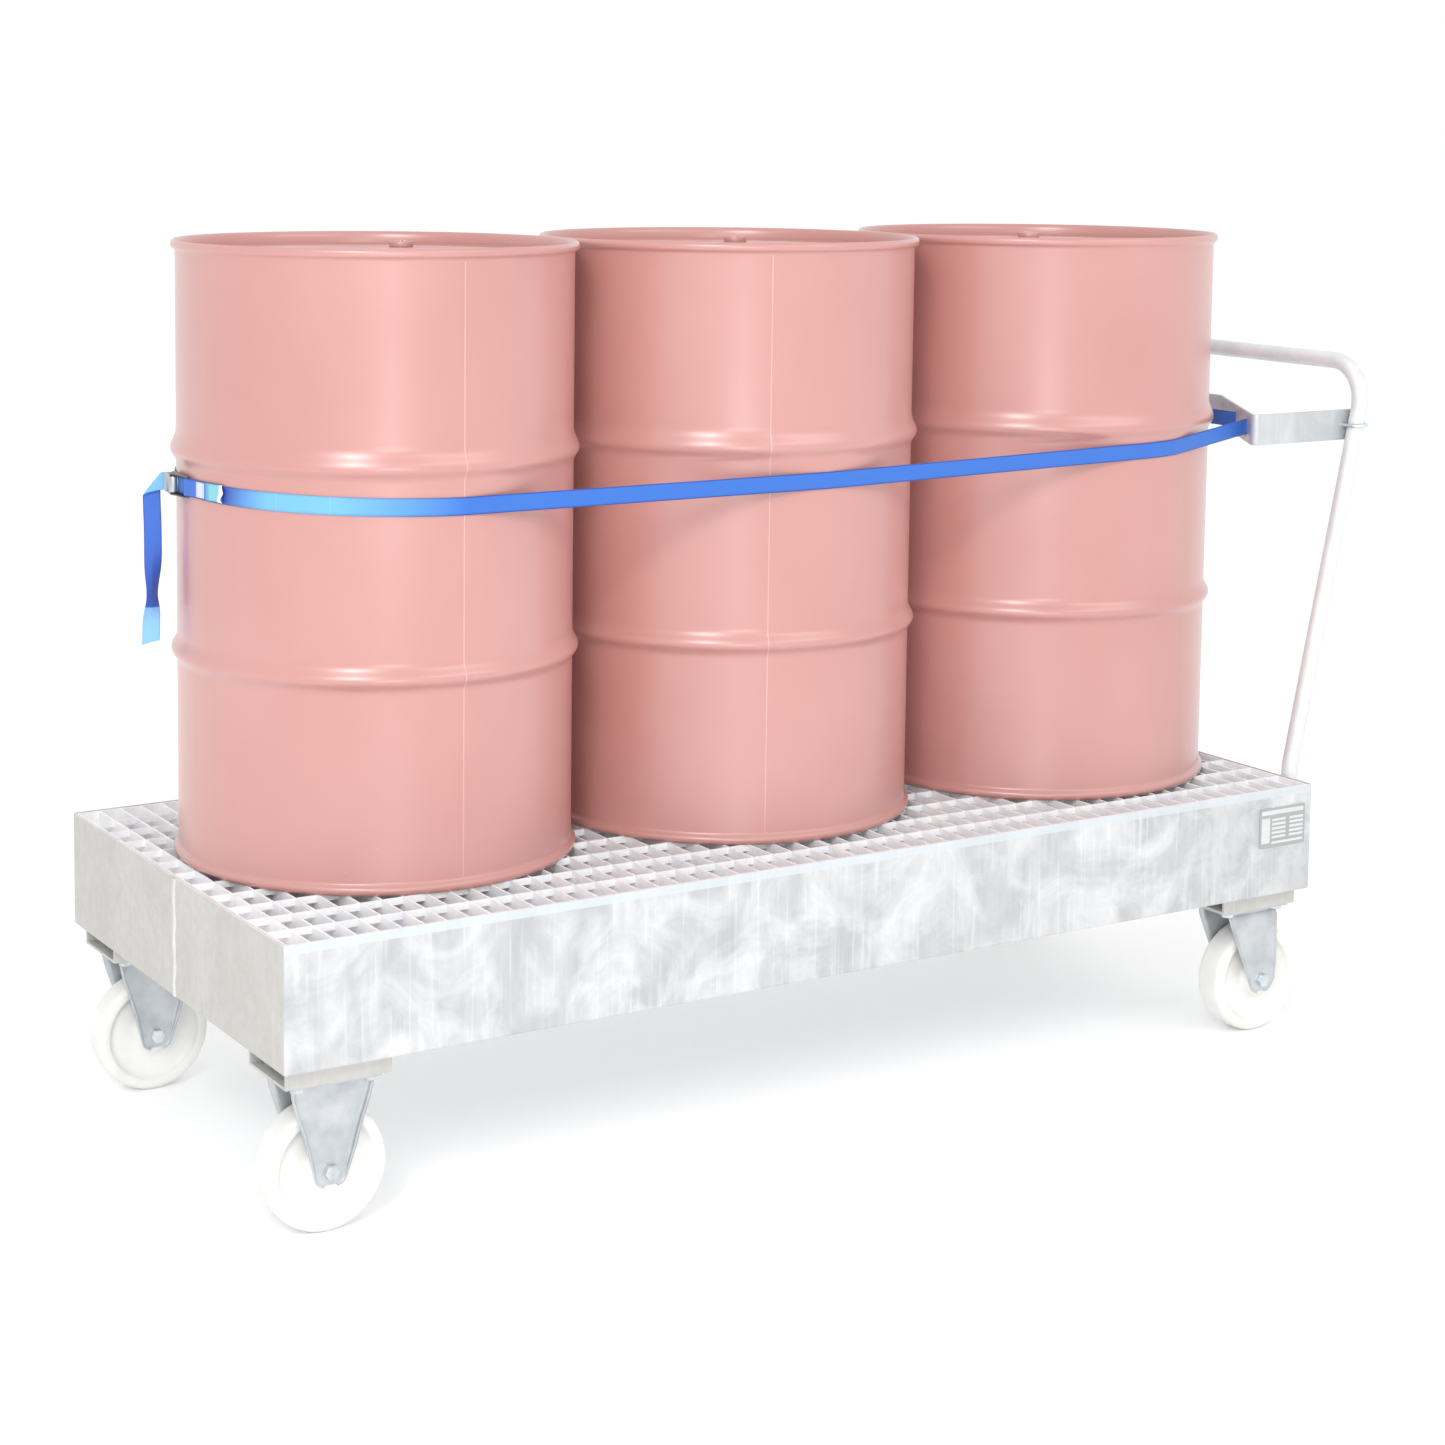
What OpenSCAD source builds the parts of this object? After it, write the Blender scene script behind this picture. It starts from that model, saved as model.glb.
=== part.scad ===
// Drum dolly: a galvanised sump tray with a grating deck on four castors, with a
// push handle, a drum rest, a cam-buckle strap and the three steel drums it carries.
// +X points to the handle end, +Z is up, and the dolly stands on Z = 0.

/* [Sump tray] */
// Length of the tray over its end walls
tray_length = 1808; // [1800:1:1900]
// Width of the tray over its side walls
tray_width = 787; // [770:1:840]
// Height of the tray's walls
tray_height = 173; // [130:1:220]
// Sheet thickness of the tray
tray_sheet = 3; // [2:0.5:5]

/* [Grating] */
// Depth of the bearing bars
bar_depth = 30; // [20:1:40]
// Thickness of the bearing bars and of each panel's frame
bar_thick = 3; // [2:0.5:4]
// Wanted spacing of the bearing bars
bar_pitch = 33.3; // [28:0.1:50]
// Depth of the cross bars, which lie flush with the top
cross_depth = 10; // [6:1:18]
// Thickness of the cross bars
cross_thick = 2; // [1.5:0.5:4]
// Wanted spacing of the cross bars
cross_pitch = 66.6; // [50:0.1:100]
// Play between the panels, and between a panel and the walls
grating_play = 2; // [1:0.5:5]
// How far the deck lies below the tray's rim
grating_sink = 1; // [0:0.5:4]
// Width of the ledges that carry the panels' edges
ledge_width = 30; // [20:1:45]
// Thickness of the ledges and of the centre beams
ledge_sheet = 3; // [2:0.5:5]
// Width of the centre beams
beam_width = 60; // [40:1:90]

/* [Feet] */
// Length of a foot channel, along the tray
foot_length = 153; // [145:1:180]
// Width of a foot channel, across the tray
foot_width = 120; // [118:1:140]
// Height of a foot channel
foot_height = 27; // [24:1:45]
// Wall thickness of a foot channel
foot_sheet = 4; // [3:0.5:6]
// Distance from the tray's end to a foot
foot_inset_x = 11.5; // [5:0.5:30]
// Distance from the tray's side to a foot
foot_inset_y = 21.5; // [10:0.5:60]

/* [Castors] */
// Diameter of the wheels
wheel_dia = 175; // [150:1:180]
// Width of a wheel's tread
wheel_width = 50; // [40:1:52]
// Corner radius of the tread
tread_round = 8; // [3:0.5:12]
// Height of a castor, from the floor to its top plate's face
castor_height = 218; // [214:1:235]
// Length of a castor's top plate
plate_length = 135; // [130:1:142]
// Width of a castor's top plate
plate_width = 110; // [106:1:112]
// Thickness of a castor's top plate
plate_thick = 4; // [3:0.5:5]
// Bolt spacing along the tray
plate_hole_x = 105; // [98:1:108]
// Bolt spacing across the tray
plate_hole_y = 85; // [84:1:86]
// Thread size of the plate bolts
plate_bolt = 10; // [8:1:10]
// Thickness of the fork legs
fork_sheet = 3.5; // [2.5:0.5:4]
// Play between a fork leg and the wheel's tread
fork_play = 5; // [4:0.5:8]
// Length of a fixed fork's legs at their top
fixed_leg_top = 113; // [90:1:120]
// Length of a fixed fork's legs at their foot
fixed_leg_foot = 40; // [32:1:50]
// Width of the folded edge of a fixed fork's legs
fixed_flange = 8; // [4:0.5:10]
// Trail of the swivel castors
trail = 36; // [25:1:45]
// Gap between a swivel castor's plate and its fork
swivel_gap = 8.5; // [8.5:0.5:12]
// Thickness of a swivel fork's crown
crown_thick = 5; // [4:0.5:8]
// Depth of a fork leg below its axle
leg_below_axle = 18; // [14:0.5:22]
// Outer diameter of the axle tubes
axle_tube_dia = 20; // [17:0.5:24]
// Thread size of the axle bolts
axle_bolt = 12; // [10:1:12]
// Diameter of the wheel's hub
hub_dia = 50; // [38:1:60]
// Diameter of the kingpins
kingpin_dia = 12; // [10:0.5:14]
// Diameter of the bearing balls
ball_dia = 7; // [5:0.5:7]
// Number of balls in a race
ball_count = 18; // [12:1:20]
// Radius of the ball race
race_radius = 26; // [24:0.5:28]
// Radial clearance of a running fit
running_fit = 0.05; // [0.02:0.01:0.1]

/* [Push handle] */
// Outer diameter of the handle tube
tube_dia = 26.9; // [21.3:0.1:33.7]
// Wall thickness of the handle tube
tube_wall = 2.6; // [2:0.1:3.2]
// Outer diameter of the sockets on the end wall
socket_dia = 33.7; // [33.7:0.1:48]
// Play between a socket and the tube
socket_play = 0.2; // [0.1:0.05:0.5]
// Distance from the middle line to a handle leg
handle_half = 324; // [300:1:345]
// Height of the lower bend above the rim
lower_bend = 13; // [5:1:60]
// Height of the push bar above the drums' upper hoops
bar_above_hoop = 87; // [70:1:170]
// Distance from the upper bend up to the push bar
bar_above_bend = 71; // [70:1:160]
// Lean of the legs away from the load
handle_lean = 12.4; // [6:0.1:16]
// Bending radius of the legs
bend_radius = 80; // [50:1:120]
// Bending radius at the push bar's ends
corner_radius = 60; // [40:1:65]
// How far the sockets stay below the rim
socket_drop = 10; // [4:1:30]
// Length of the sockets
socket_length = 135; // [80:1:140]
// Thread size of the socket bolts
handle_bolt = 8; // [6:1:10]

/* [Drum rest] */
// Height of the folded strip
rest_height = 50; // [40:1:70]
// Thickness of the strip
rest_sheet = 4; // [3:0.5:6]
// Distance from the push bar down to the strip's middle
rest_below_bar = 102; // [96:1:130]
// Length of the arms, from the fold to the handle tube
arm_length = 200; // [150:1:230]
// Depth of the vee, from the arms' folds to its floor
vee_depth = 182; // [120:1:195]
// Half the width of the vee's floor
vee_floor = 40; // [20:1:80]
// Distance along a slope from the arm's fold to the outer slot
slot_outer = 56; // [40:1:80]
// Distance along a slope from the arm's fold to the inner slot
slot_inner = 165; // [130:1:200]
// Width of the strap slots
slot_width = 10; // [8:0.5:14]
// Height of the strap slots
slot_height = 31; // [28:1:36]

// Rod diameter of the U-bolts that clamp the strip to the handle
clamp_rod = 6; // [5:1:8]
// Play between a U-bolt and the handle tube
clamp_play = 0.6; // [0.4:0.1:1.5]

/* [Drums] */
// Outer radius of a drum's body
drum_radius = 286.5; // [280:0.5:288]
// Height of a drum
drum_height = 885; // [860:1:900]
// Outer radius of the rolling hoops
hoop_radius = 295; // [290:0.5:295]
// Height of a rolling hoop
hoop_height = 44; // [24:1:50]
// Distance from a drum's base up to its lower hoop
hoop_from_base = 297.4; // [280:0.1:310]
// Distance from a drum's top down to its upper hoop
hoop_from_top = 298.2; // [280:0.1:310]
// Outer radius of the rolled rims
rim_radius = 293.3; // [289:0.1:294.5]
// Height of the rolled rims
rim_height = 13; // [8:1:18]
// Depth of the heads below the rims
head_drop = 20; // [18:1:30]
// Sheet thickness of a drum
drum_sheet = 1.5; // [1:0.1:2]
// Spacing of the drums
drum_pitch = 591; // [590.5:0.5:593]
// How far the row stands off the tray's middle
row_offset = 18; // [0:1:20]
// How far the row is turned on the deck
row_turn = 2.1; // [0:0.1:3]
// Gap under a drum
drum_gap = 0.2; // [0.1:0.1:0.5]

/* [Strap] */
// Width of the webbing
strap_width = 25; // [20:1:26]
// Thickness of the webbing
strap_thick = 1.5; // [1:0.1:2]
// Clearance between the webbing and the drums
strap_gap = 0.4; // [0.3:0.1:1]
// How far the webbing lies below the upper hoop at the buckle
buckle_below_hoop = 44; // [38:1:60]
// How far it lies below the upper hoop in front of the first drum
first_below_hoop = 53; // [38:1:60]
// How far it lies below the upper hoop in front of the middle drum
middle_below_hoop = 50; // [34:1:60]
// How far it lies below the upper hoop in front of the last drum
last_below_hoop = 34; // [30:1:50]
// Where the buckle sits on the first drum, as an angle
buckle_angle = 172; // [160:1:190]
// Length of the sewn end
sewn_length = 92; // [80:1:120]
// How far the free end sticks out
tail_reach = 40; // [34:1:60]
// Length of the free end's hanging part
tail_hang = 212; // [120:1:300]

/* [Type plate] */
// Length of the type plate
type_length = 98; // [60:1:120]
// Height of the type plate
type_height = 65; // [40:1:80]
// Thickness of the type plate
type_thick = 0.8; // [0.5:0.1:2]
// Distance from the tray's handle end to the type plate
type_inset = 16; // [8:1:60]
// Distance from the rim to the type plate
type_drop = 29; // [15:1:60]

/* [Hidden] */
$fn = 64;
fine = 128;

// Levels
tray_floor = castor_height + foot_height;
rim = tray_floor + tray_height;
deck = rim - grating_sink;
axle_level = wheel_dia / 2;
hoop_low = hoop_from_base;
hoop_high = drum_height - hoop_from_top;
plate_level = castor_height - plate_thick;
crown_level = plate_level - swivel_gap;

// Heights above the rim
hoop_level = hoop_high + drum_gap - grating_sink;
bar_height = hoop_level + bar_above_hoop;
upper_bend = bar_height - bar_above_bend;
rest_level = bar_height - rest_below_bar;
strap_at_buckle = hoop_level - buckle_below_hoop;
strap_at_first = hoop_level - first_below_hoop;
strap_at_middle = hoop_level - middle_below_hoop;
strap_at_last = hoop_level - last_below_hoop;

// Castor places, and the frame's middle
castor_x = tray_length / 2 - foot_inset_x - foot_length / 2;
castor_y = tray_width / 2 - foot_inset_y - foot_width / 2;
handle_x = tray_length / 2 + socket_dia / 2;
lean_rise = upper_bend - lower_bend;
bar_x = handle_x + lean_rise * tan(handle_lean);
rest_tube_x = handle_x + (rest_level - lower_bend) * tan(handle_lean);
clamp_radius = tube_dia / 2 + clamp_play + clamp_rod / 2;
far_x = max(bar_x + tube_dia / 2, rest_tube_x + clamp_radius + clamp_rod / 2);
mid_x = (far_x - tray_length / 2) / 2;

// Fork and wheel
fork_half = wheel_width / 2 + fork_play;
fork_out = fork_half + fork_sheet;
hub_half = fork_half - 0.8;

// Standard hexagon sizes by thread: width over flats, head height and nut height
function hex_flats(d) = d == 6 ? 10 : d == 8 ? 13 : d == 10 ? 17 : d == 12 ? 19 : 1.6 * d;
function head_high(d) = 0.63 * d;
function nut_high(d) = 0.82 * d;
hole_play = 1;

// Plane geometry
function unit(v) = v / norm(v);
function turned(v, a) = [v[0] * cos(a) - v[1] * sin(a), v[0] * sin(a) + v[1] * cos(a)];
function polar(c, r, a) = c + r * [cos(a), sin(a)];
function arc(c, r, a, b, n) = [for (k = [0:n]) polar(c, r, a + (b - a) * k / n)];
function heading(p, i) = unit(p[min(i + 1, len(p) - 1)] - p[min(i, len(p) - 2)]);
function arriving(p, i) = unit(p[max(i, 1)] - p[max(i - 1, 0)]);
function mitred(p, i, d) =
  let (a = arriving(p, i), b = heading(p, i), m = turned(unit(a + b), 90))
  p[i] + m * d / (m * turned(a, 90));
function strip(p, t) = concat(
  [for (i = [0:len(p) - 1]) mitred(p, i, t / 2)],
  [for (i = [len(p) - 1:-1:0]) mitred(p, i, -t / 2)]);
function lifted(p, a, b) =
  [for (k = [0:len(p) - 1]) [p[k][0], p[k][1], a + (b - a) * k / max(1, len(p) - 1)]];

// The drums' axes: front, middle and rear
function drum_axis(i) = turned([i * drum_pitch, 0], -row_turn) + [row_offset, 0];

// Drum rest, seen from above: the left slope starts at the arm's fold
rest_y = handle_half - tube_dia / 2 - rest_sheet / 2;
fold_x = rest_tube_x - tube_dia / 2 - arm_length;
slope_way = unit([vee_depth, rest_y - vee_floor]);
function on_slope(side, a, b) =
  let (p = [fold_x, -rest_y] + a * slope_way + b * [slope_way[1], -slope_way[0]])
  [p[0], -side * p[1]];

// Strap radii on the first drum, from the drum outwards
strap_r = drum_radius + strap_gap + strap_thick / 2;
layer = strap_thick + 0.1;
flap_r = strap_r + layer;
strap_level = rest_level;

// Buckle, in a frame at the first drum's axis: x outwards, y along the strap
end_bar = 5;
base_thick = 1.5;
base_in = strap_r + strap_thick / 2 + 0.25;
base_out = base_in + base_thick;
top_layer = base_out + 0.1 + strap_thick / 2;
bar_y = 36;
bar_out = sqrt(strap_r * strap_r - bar_y * bar_y) + strap_thick / 2 + 0.1 + end_bar / 2;
bar_loop = end_bar / 2 + 0.1 + strap_thick / 2;
base_low = -26;
base_high = 29;
window_low = 15.5;
turn_y = 17.5;
cheek_in = strap_width / 2 + 1.2;
cheek_thick = 1.5;
cam_pin_dia = 4;
cam_radius = 7;
cam_x = top_layer + strap_thick / 2 + 0.15 + cam_radius;
cam_y = -1;
lever_length = 26;
cam_half = strap_width / 2 - 1.5;
tail_turn = 23;
tail_start = [top_layer + 3.5, -36];
function at_buckle(p) = drum_axis(-1) + turned(p, buckle_angle);

// Tangent angles where the webbing meets a drum
line_front = 270 - row_turn;
line_back = 90 - row_turn;
function bearing(c, p) = atan2(p[1] - c[1], p[0] - c[0]);
function reach(c, p) = acos(strap_r / norm(p - c));
slot_left = on_slope(-1, slot_outer - 1.5, -rest_sheet);
slot_right = on_slope(1, slot_outer - 1.5, -rest_sheet);
leave_front = 360 + bearing(drum_axis(1), slot_left) - reach(drum_axis(1), slot_left);
meet_back = bearing(drum_axis(1), slot_right) + reach(drum_axis(1), slot_right);
meet_first = bearing(drum_axis(-1), slot_right) + reach(drum_axis(-1), slot_right);
back_touches = meet_back < line_back;
// Where the right run passes nearest the rear drum if it doesn't touch it
back_way = unit(polar(drum_axis(-1), strap_r, meet_first) - slot_right);
back_near = slot_right + ((drum_axis(1) - slot_right) * back_way) * back_way;
hook = rest_sheet / 2 + 0.2 + strap_thick / 2;
sewn_angle = asin(bar_y / strap_r);

function through_slots(side) = [
  on_slope(side, slot_outer - 1.5, -rest_sheet),
  on_slope(side, slot_outer, 0),
  on_slope(side, slot_outer + 3, hook * 0.85),
  on_slope(side, slot_outer + 6, hook),
  on_slope(side, slot_inner - 6, hook),
  on_slope(side, slot_inner - 3, hook * 0.85),
  on_slope(side, slot_inner, 0),
  on_slope(side, slot_inner + 1.5, -rest_sheet)];
function backwards(p) = [for (i = [len(p) - 1:-1:0]) p[i]];

webbing_route = concat(
  lifted(arc(drum_axis(-1), flap_r, buckle_angle + sewn_angle + sewn_length / flap_r * 180 / PI,
    buckle_angle + sewn_angle + 4.5, 8), strap_at_buckle, strap_at_buckle),
  lifted([for (k = [0:8]) at_buckle(polar([bar_out, bar_y], bar_loop, 10 - k * 22.5))],
    strap_at_buckle, strap_at_buckle),
  lifted(arc(drum_axis(-1), strap_r, buckle_angle + sewn_angle + 1, line_front, 24),
    strap_at_buckle, strap_at_first),
  [concat(polar(drum_axis(0), strap_r, line_front), strap_at_middle)],
  lifted(arc(drum_axis(1), strap_r, line_front, leave_front, 12), strap_at_last - 2, strap_at_last),
  lifted(through_slots(-1), strap_level, strap_level),
  lifted(backwards(through_slots(1)), strap_level, strap_level),
  back_touches
    ? lifted(arc(drum_axis(1), strap_r, meet_back, line_back, 12), strap_at_last, strap_at_last)
    : [concat(back_near, strap_at_last + 4)],
  lifted(arc(drum_axis(-1), strap_r, back_touches ? line_back : meet_first, buckle_angle, 24),
    strap_at_buckle - 2, strap_at_buckle),
  lifted([for (p = [
    [strap_r, turn_y - 3],
    [strap_r + 0.25, turn_y + 0.5],
    [(strap_r + top_layer) / 2, turn_y + 2.1],
    [top_layer - 0.25, turn_y + 0.5],
    [top_layer, turn_y - 3],
    [top_layer, -27],
    [top_layer + 0.6, -31.5],
    tail_start]) at_buckle(p)], strap_at_buckle, strap_at_buckle));

// Moves a piece from the tray's middle to the frame's middle
module placed() { translate([-mid_x, 0, 0]) children(); }
module at_front(side) { translate([-castor_x, side * castor_y, 0]) children(); }
module at_rear(side) { translate([castor_x, side * castor_y, 0]) children(); }
module at_drum(i) { translate([drum_axis(i)[0], drum_axis(i)[1], deck + drum_gap]) children(); }
module in_buckle() {
  translate([drum_axis(-1)[0], drum_axis(-1)[1], rim + strap_at_buckle])
    rotate([0, 0, buckle_angle]) children();
}
module hexagon(d, h) { cylinder(d = hex_flats(d) / cos(30), h = h, $fn = 6); }
module four(x, y) { for (i = [-1, 1], j = [-1, 1]) translate([i * x / 2, j * y / 2, 0]) children(); }
// Lays a length of bar along Y, and a flat outline in the XZ plane
module along_y(h) { rotate([90, 0, 0]) translate([0, 0, -h / 2]) children(); }

// ---- Tray and deck ----
// The tray is welded from its floor, two side walls and two end walls
tray_inside_x = tray_length - 2 * tray_sheet;
tray_inside_y = tray_width - 2 * tray_sheet;
module sump_tray() {
  color("#D9DBDC") translate([-tray_inside_x / 2, -tray_inside_y / 2, tray_floor])
    cube([tray_inside_x, tray_inside_y, tray_sheet]);
}
module side_walls() {
  color("#D9DBDC") for (side = [-1, 1])
    translate([-tray_inside_x / 2, side * (tray_width - tray_sheet) / 2 - tray_sheet / 2, tray_floor])
      cube([tray_inside_x, tray_sheet, tray_height]);
}
module end_walls() {
  color("#D9DBDC") for (end = [-1, 1])
    translate([end * (tray_length - tray_sheet) / 2 - tray_sheet / 2, -tray_width / 2, tray_floor])
      cube([tray_sheet, tray_width, tray_height]);
}

panel_x = tray_length / 2 - tray_sheet - 1.5 * grating_play;
panel_y = tray_width - 2 * tray_sheet - 2 * grating_play;
cells_x = round((panel_x - bar_thick) / bar_pitch);
cells_y = round((panel_y - bar_thick) / cross_pitch);
step_x = (panel_x - bar_thick) / cells_x;
step_y = (panel_y - 2 * bar_thick + cross_thick) / cells_y;

// One panel with its low corner at the origin
module grating_panel() {
  translate([0, 0, bar_depth - cross_depth]) linear_extrude(cross_depth) difference() {
    square([panel_x, panel_y]);
    for (i = [0:cells_x - 1], j = [0:cells_y - 1])
      translate([bar_thick + i * step_x, bar_thick + j * step_y])
        square([step_x - bar_thick, step_y - cross_thick]);
  }
  linear_extrude(bar_depth - cross_depth) difference() {
    square([panel_x, panel_y]);
    for (i = [0:cells_x - 1])
      translate([bar_thick + i * step_x, bar_thick])
        square([step_x - bar_thick, panel_y - 2 * bar_thick]);
  }
}
module grating(end) {
  color("#D5DAE0")
    translate([end > 0 ? grating_play / 2 : -grating_play / 2 - panel_x, -panel_y / 2, deck - bar_depth])
      grating_panel();
}
// Two angles along the side walls, and two on the end walls between them
ledge_top = deck - bar_depth;
module angle_ledge(length) {
  translate([-length / 2, 0, 0]) rotate([90, 0, 90]) linear_extrude(length)
    polygon([[0, -ledge_width], [ledge_sheet, -ledge_width], [ledge_sheet, -ledge_sheet],
      [ledge_width, -ledge_sheet], [ledge_width, 0], [0, 0]]);
}
module grating_ledges() {
  color("#CFD3D6") for (side = [0, 180]) rotate([0, 0, side]) {
    translate([0, -tray_inside_y / 2, ledge_top]) angle_ledge(tray_inside_x);
    translate([tray_inside_x / 2, 0, ledge_top]) rotate([0, 0, 90])
      angle_ledge(tray_inside_y - 2 * ledge_width);
  }
}
// Inverted channels that stand on the tray's floor under the panels' middles
beam_height = ledge_top - tray_floor - tray_sheet;
module centre_beams() {
  beam_length = panel_x - 2 * ledge_width;
  color("#CFD3D6") for (end = [-1, 1])
    translate([end * (panel_x + grating_play) / 2 - beam_length / 2, 0, tray_floor + tray_sheet])
      rotate([90, 0, 90]) linear_extrude(beam_length) difference() {
        translate([-beam_width / 2, 0]) square([beam_width, beam_height]);
        translate([-beam_width / 2 + ledge_sheet, -1])
          square([beam_width - 2 * ledge_sheet, beam_height - ledge_sheet + 1]);
      }
}

// ---- Feet and castors ----
kingpin_nut = 1.5 * kingpin_dia;
module foot() {
  color("#C9CDD0") translate([0, 0, castor_height]) difference() {
    translate([-foot_length / 2, 0, 0]) rotate([90, 0, 90]) linear_extrude(foot_length) difference() {
      translate([-foot_width / 2, 0]) square([foot_width, foot_height]);
      translate([-foot_width / 2 + foot_sheet, foot_sheet])
        square([foot_width - 2 * foot_sheet, foot_height]);
    }
    four(plate_hole_x, plate_hole_y)
      translate([0, 0, -1]) cylinder(d = plate_bolt + hole_play, h = foot_sheet + 2);
    translate([0, 0, -1]) cylinder(d = kingpin_nut + 14, h = foot_sheet + 2);
  }
}
module top_plate() {
  translate([-plate_length / 2, -plate_width / 2, plate_level])
    cube([plate_length, plate_width, plate_thick]);
}
module plate_holes() {
  four(plate_hole_x, plate_hole_y)
    translate([0, 0, plate_level - 1]) cylinder(d = plate_bolt + hole_play, h = plate_thick + 2);
}
module castor_bolts() {
  color("#B9BEC2") for (side = [-1, 1]) {
    at_front(side) four(plate_hole_x, plate_hole_y) plate_screw();
    at_rear(side) four(plate_hole_x, plate_hole_y) plate_screw();
  }
}
module plate_screw() {
  translate([0, 0, plate_level - head_high(plate_bolt)])
    hexagon(plate_bolt, head_high(plate_bolt));
  translate([0, 0, plate_level - 0.5])
    cylinder(d = plate_bolt, h = plate_thick + foot_sheet + nut_high(plate_bolt) + 2.5);
}
module castor_nuts() {
  color("#B9BEC2") for (side = [-1, 1]) {
    at_front(side) four(plate_hole_x, plate_hole_y) plate_nut();
    at_rear(side) four(plate_hole_x, plate_hole_y) plate_nut();
  }
}
module plate_nut() {
  translate([0, 0, castor_height + foot_sheet]) difference() {
    hexagon(plate_bolt, nut_high(plate_bolt));
    translate([0, 0, -1]) cylinder(d = plate_bolt + 0.1, h = nut_high(plate_bolt) + 2);
  }
}

// Outline of a fixed fork's leg, x across and z up
leg_foot = axle_level - leg_below_axle;
fixed_leg = [
  [-fixed_leg_top / 2, plate_level], [fixed_leg_top / 2, plate_level],
  [fixed_leg_foot / 2, leg_foot + 8], [fixed_leg_foot / 2 - 6, leg_foot],
  [-fixed_leg_foot / 2 + 6, leg_foot], [-fixed_leg_foot / 2, leg_foot + 8]];
module fixed_fork() {
  edge = unit(fixed_leg[2] - fixed_leg[1]);
  inwards = fork_sheet * [edge[1], -edge[0]];
  color("#C5CBCD") difference() {
    union() {
      top_plate();
      for (side = [-1, 1]) {
        translate([0, side * (fork_half + fork_sheet / 2), 0]) along_y(fork_sheet)
          linear_extrude(fork_sheet) polygon(fixed_leg);
        for (end = [0, 1]) mirror([end, 0, 0])
          translate([0, side * (fork_out + fixed_flange / 2 - 0.5), 0]) along_y(fixed_flange)
            linear_extrude(fixed_flange)
              polygon([fixed_leg[1] - [0, fixed_flange], fixed_leg[2] - 14 * edge,
                fixed_leg[2] - 14 * edge + inwards, fixed_leg[1] - [0, fixed_flange] + inwards]);
      }
    }
    plate_holes();
    translate([0, 0, axle_level]) along_y(4 * fork_out)
      cylinder(d = axle_bolt + 0.2, h = 4 * fork_out);
  }
}

// Swivel castors: the plate with its raceway, the balls, the kingpin and the fork
race_ring = 4;
module groove() {
  translate([0, 0, crown_level + (swivel_gap - race_ring) / 2])
    rotate_extrude() translate([race_radius, 0]) circle(d = ball_dia + 4 * running_fit, $fn = 32);
}
module swivel_plate() {
  color("#C5CBCD") difference() {
    union() {
      top_plate();
      translate([0, 0, plate_level - race_ring]) cylinder(r = race_radius + 8, h = race_ring, $fn = fine);
    }
    plate_holes();
    groove();
    translate([0, 0, plate_level - race_ring - 1]) cylinder(d = kingpin_dia, h = plate_thick + race_ring + 2);
  }
}
module ball_race() {
  color("#AEB4B8") for (k = [0:ball_count - 1]) rotate([0, 0, k * 360 / ball_count])
    translate([race_radius, 0, crown_level + (swivel_gap - race_ring) / 2])
      sphere(d = ball_dia, $fn = 24);
}
module kingpin() {
  head = 5;
  washer = 0.2;
  color("#AEB4B8") {
    translate([0, 0, crown_level - crown_thick - washer - head])
      cylinder(r = kingpin_dia / 2 + 6, h = head);
    translate([0, 0, crown_level - crown_thick - washer])
      cylinder(d = kingpin_dia, h = castor_height - crown_level + crown_thick + washer);
    translate([0, 0, castor_height]) cylinder(d = kingpin_nut, h = foot_sheet + 4, $fn = 6);
  }
}
crown_front = -37;
crown_back = trail + 23;
swivel_leg = concat(
  [[crown_front, crown_level], [crown_back, crown_level], [trail + 25, axle_level]],
  [for (k = [1:11]) [trail + 25 * cos(15 * k), axle_level - leg_below_axle * sin(15 * k)]],
  [[trail - 25, axle_level]]);
module swivel_fork() {
  color("#C5CBCD") difference() {
    union() {
      translate([crown_front, -fork_out, crown_level - crown_thick])
        cube([crown_back - crown_front, 2 * fork_out, crown_thick]);
      for (side = [-1, 1]) translate([0, side * (fork_half + fork_sheet / 2), 0])
        along_y(fork_sheet) linear_extrude(fork_sheet) polygon(swivel_leg);
    }
    groove();
    translate([0, 0, crown_level - crown_thick - 1])
      cylinder(r = kingpin_dia / 2 + running_fit, h = crown_thick + 2);
    translate([trail, 0, axle_level]) along_y(4 * fork_out)
      cylinder(d = axle_bolt + 0.2, h = 4 * fork_out);
  }
}

// Wheel, axle tube and axle bolt about the Y axis at the origin
web_half = wheel_width / 2 - 10;
wheel_side = concat(
  [[axle_tube_dia / 2 + running_fit, hub_half], [hub_dia / 2 - 2, hub_half], [hub_dia / 2, hub_half - 2],
    [hub_dia / 2 + 3, web_half], [wheel_dia / 2 - 22, web_half],
    [wheel_dia / 2 - 17, wheel_width / 2 - 1.5], [wheel_dia / 2 - 15.5, wheel_width / 2]],
  [for (k = [0:6]) [wheel_dia / 2 - tread_round + tread_round * sin(15 * k),
    wheel_width / 2 - tread_round + tread_round * cos(15 * k)]]);
module wheel() {
  color("#F4F4F1") rotate([90, 0, 0]) rotate_extrude($fn = fine)
    polygon(concat(wheel_side, [for (p = backwards(wheel_side)) [p[0], -p[1]]]));
}
module axle_tube() {
  color("#B9BEC2") rotate([90, 0, 0]) difference() {
    translate([0, 0, -fork_half]) cylinder(d = axle_tube_dia, h = 2 * fork_half);
    translate([0, 0, -fork_half - 1]) cylinder(d = axle_bolt + 0.2, h = 2 * fork_half + 2);
  }
}
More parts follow.
